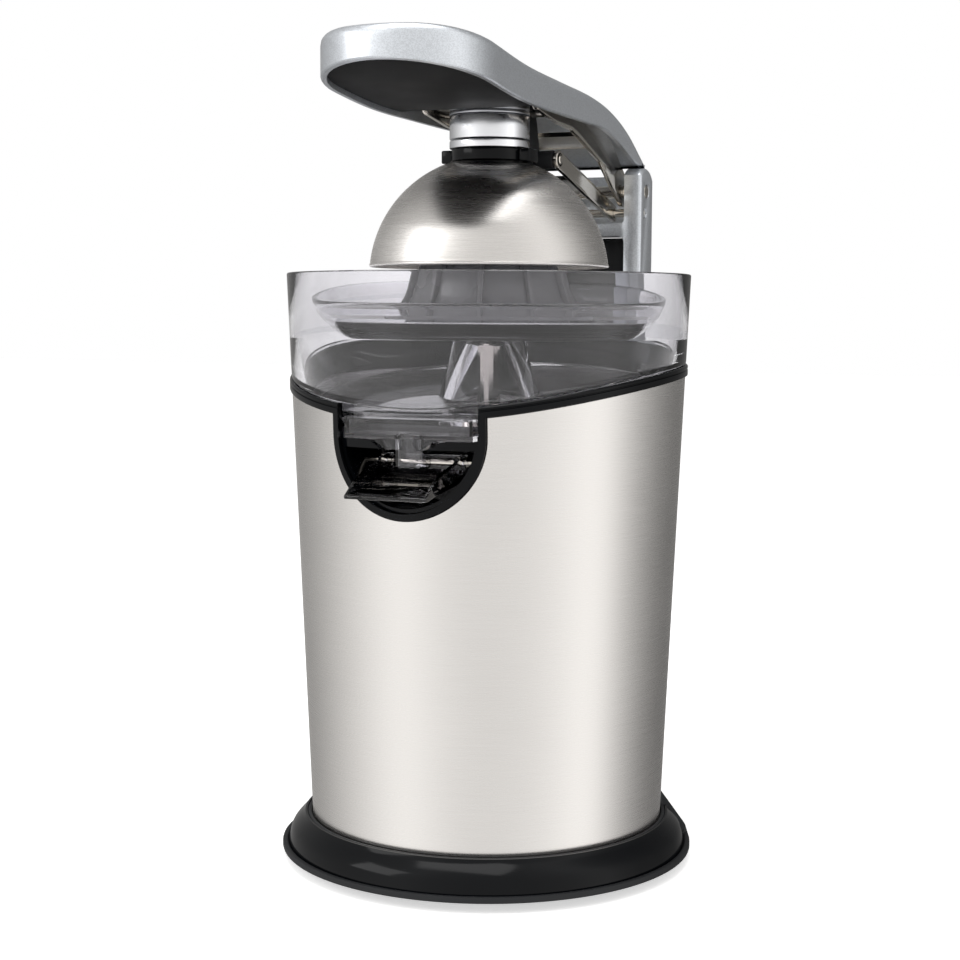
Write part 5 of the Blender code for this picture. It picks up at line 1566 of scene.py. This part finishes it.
def row_tree() -> bpy.types.NodeTree:
    """Geometry Nodes that repeat a piece upwards in a row.

    Returns:
        A tree with Count and Step inputs, and the Material that the copies take.
    """
    tree = bpy.data.node_groups.new("Copies in a row", "GeometryNodeTree")
    face = tree.interface
    face.new_socket("Geometry", in_out="INPUT", socket_type="NodeSocketGeometry")
    for label, kind in (("Count", "NodeSocketInt"), ("Step", "NodeSocketFloat"), ("Material", "NodeSocketMaterial")):
        face.new_socket(label, in_out="INPUT", socket_type=kind)
    face.new_socket("Geometry", in_out="OUTPUT", socket_type="NodeSocketGeometry")
    wires = Wires(tree)
    start, end = wires.add("NodeGroupInput"), wires.add("NodeGroupOutput")
    row = wires.add("GeometryNodeMeshLine")
    wires.join(start.outputs["Count"], row.inputs["Count"])
    wires.join(wires.vector(0.0, 0.0, start.outputs["Step"]), row.inputs["Offset"])
    copy = wires.add("GeometryNodeInstanceOnPoints")
    wires.join(row.outputs[0], copy.inputs["Points"])
    wires.join(start.outputs["Geometry"], copy.inputs["Instance"])
    real = wires.add("GeometryNodeRealizeInstances")
    wires.join(copy.outputs[0], real.inputs[0])
    coat = wires.add("GeometryNodeSetMaterial")
    wires.join(real.outputs[0], coat.inputs["Geometry"])
    wires.join(start.outputs["Material"], coat.inputs["Material"])
    wires.join(coat.outputs[0], end.inputs[0])
    return tree


# ---------------------------------------------------------------- studio


@dataclass
class Studio:
    """Pale floor, soft light from a bright room with a dark side, and the camera."""

    distance: float = 0.788
    azimuth: float = 24.0
    height: float = 0.240
    pitch: float = 5.4
    roll: float = 0.27
    lens: float = 67.5
    shift: float = -0.0083

    def build(self) -> None:
        """Builds the floor, the world, the lights and the camera."""
        self.floor()
        self.world()
        self.lamps()
        self.camera()

    def floor(self) -> None:
        """Lays a pale floor."""
        mesh = bpy.data.meshes.new("floor")
        far = 6.0
        mesh.from_pydata([(-far, -far, 0), (far, -far, 0), (far, far, 0), (-far, far, 0)], [], [(0, 1, 2, 3)])
        material = bpy.data.materials.new("pale floor")
        material.use_nodes = True
        shader = material.node_tree.nodes["Principled BSDF"]
        shader.inputs["Base Color"].default_value = (0.92, 0.92, 0.92, 1)
        shader.inputs["Roughness"].default_value = 0.6
        shader.inputs["Emission Color"].default_value = (1, 1, 1, 1)
        shader.inputs["Emission Strength"].default_value = 0.55
        mesh.materials.append(material)
        floor = bpy.data.objects.new("floor", mesh)
        floor.visible_glossy = False
        floor.visible_diffuse = False
        bpy.context.scene.collection.objects.link(floor)

    def world(self) -> None:
        """Makes a soft room whose brightness changes with the direction, white where it is seen directly."""
        world = bpy.data.worlds.new("soft room")
        world.use_nodes = True
        bpy.context.scene.world = world
        wires = Wires(world.node_tree)
        back = world.node_tree.nodes["Background"]
        way = wires.add("ShaderNodeTexCoord").outputs["Generated"]
        split = wires.add("ShaderNodeSeparateXYZ")
        wires.join(way, split.inputs[0])
        turn = wires.math("ARCTAN2", split.outputs[0], wires.math("MULTIPLY", split.outputs[1], -1.0))
        offset = wires.math("SUBTRACT", turn, math.radians(self.azimuth))
        wrapped = wires.math("ADD", wires.math("DIVIDE", offset, TAU), 1.5)
        share = wires.math("FRACT", wrapped)
        ramp = wires.add("ShaderNodeValToRGB")
        stops = [(-180, 0.30), (-140, 0.36), (-118, 0.52), (-90, 0.84), (-60, 1.22), (-48, 1.26), (-32, 1.02),
                 (-10, 0.90), (25, 0.94), (45, 1.10), (62, 1.36), (72, 1.34), (84, 0.84), (96, 0.50), (115, 0.26),
                 (135, 0.16), (165, 0.18)]
        elements = ramp.color_ramp.elements
        while len(elements) < len(stops):
            elements.new(0.5)
        for element, (angle, value) in zip(elements, stops):
            element.position = (angle + 180) / 360
            element.color = (value, value * 0.99, value * 0.975, 1)
        wires.join(share, ramp.inputs[0])
        path = wires.add("ShaderNodeLightPath")
        mix = wires.add("ShaderNodeMix", data_type="RGBA")
        seen = wires.math("MAXIMUM", path.outputs["Is Camera Ray"], path.outputs["Is Transmission Ray"])
        wires.join(seen, mix.inputs[0])
        wires.join(ramp.outputs[0], mix.inputs[6])
        mix.inputs[7].default_value = (1, 1, 1, 1)
        wires.join(mix.outputs[2], back.inputs["Color"])

    def lamps(self) -> None:
        """Hangs two large soft lamps."""
        for name, power, size, place in (("overhead", 7.0, 0.9, (0.0, -0.2, 1.3)),
                                         ("front_left", 4.0, 0.7, (-0.9, -0.9, 0.8))):
            light = bpy.data.lights.new(name, "AREA")
            light.energy = power
            light.size = size
            lamp = bpy.data.objects.new(name, light)
            lamp.location = place
            aim = Vector((0, 0, 0.2)) - Vector(place)
            lamp.rotation_euler = aim.to_track_quat("-Z", "Y").to_euler()
            bpy.context.scene.collection.objects.link(lamp)

    def camera(self) -> None:
        """Sets the camera in front of the spout, to its right."""
        data = bpy.data.cameras.new("camera")
        data.lens = self.lens
        data.sensor_width = 36.0
        data.shift_x = self.shift
        camera = bpy.data.objects.new("camera", data)
        lean = math.radians(self.azimuth)
        camera.location = (self.distance * math.sin(lean), -self.distance * math.cos(lean), self.height)
        turn = Matrix.Rotation(lean, 4, "Z") @ Matrix.Rotation(math.radians(90 - self.pitch), 4, "X")
        camera.rotation_euler = (turn @ Matrix.Rotation(math.radians(self.roll), 4, "Z")).to_euler()
        bpy.context.scene.collection.objects.link(camera)
        bpy.context.scene.camera = camera
        bpy.context.scene.view_settings.view_transform = "Standard"


def main() -> None:
    """Builds the looks of the whole machine."""
    logging.basicConfig(level=logging.INFO)
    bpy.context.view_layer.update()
    for make in (round_brushing, long_brushing, moulded_skin, metal_flake, copies_tree):
        make()
    Studio().build()
    for part in (Base(), Body(), Bowl(), Cone(), Trough(), Press(), Lever(), Rear()):
        part.build()
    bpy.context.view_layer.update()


if __name__ == "__main__":
    main()
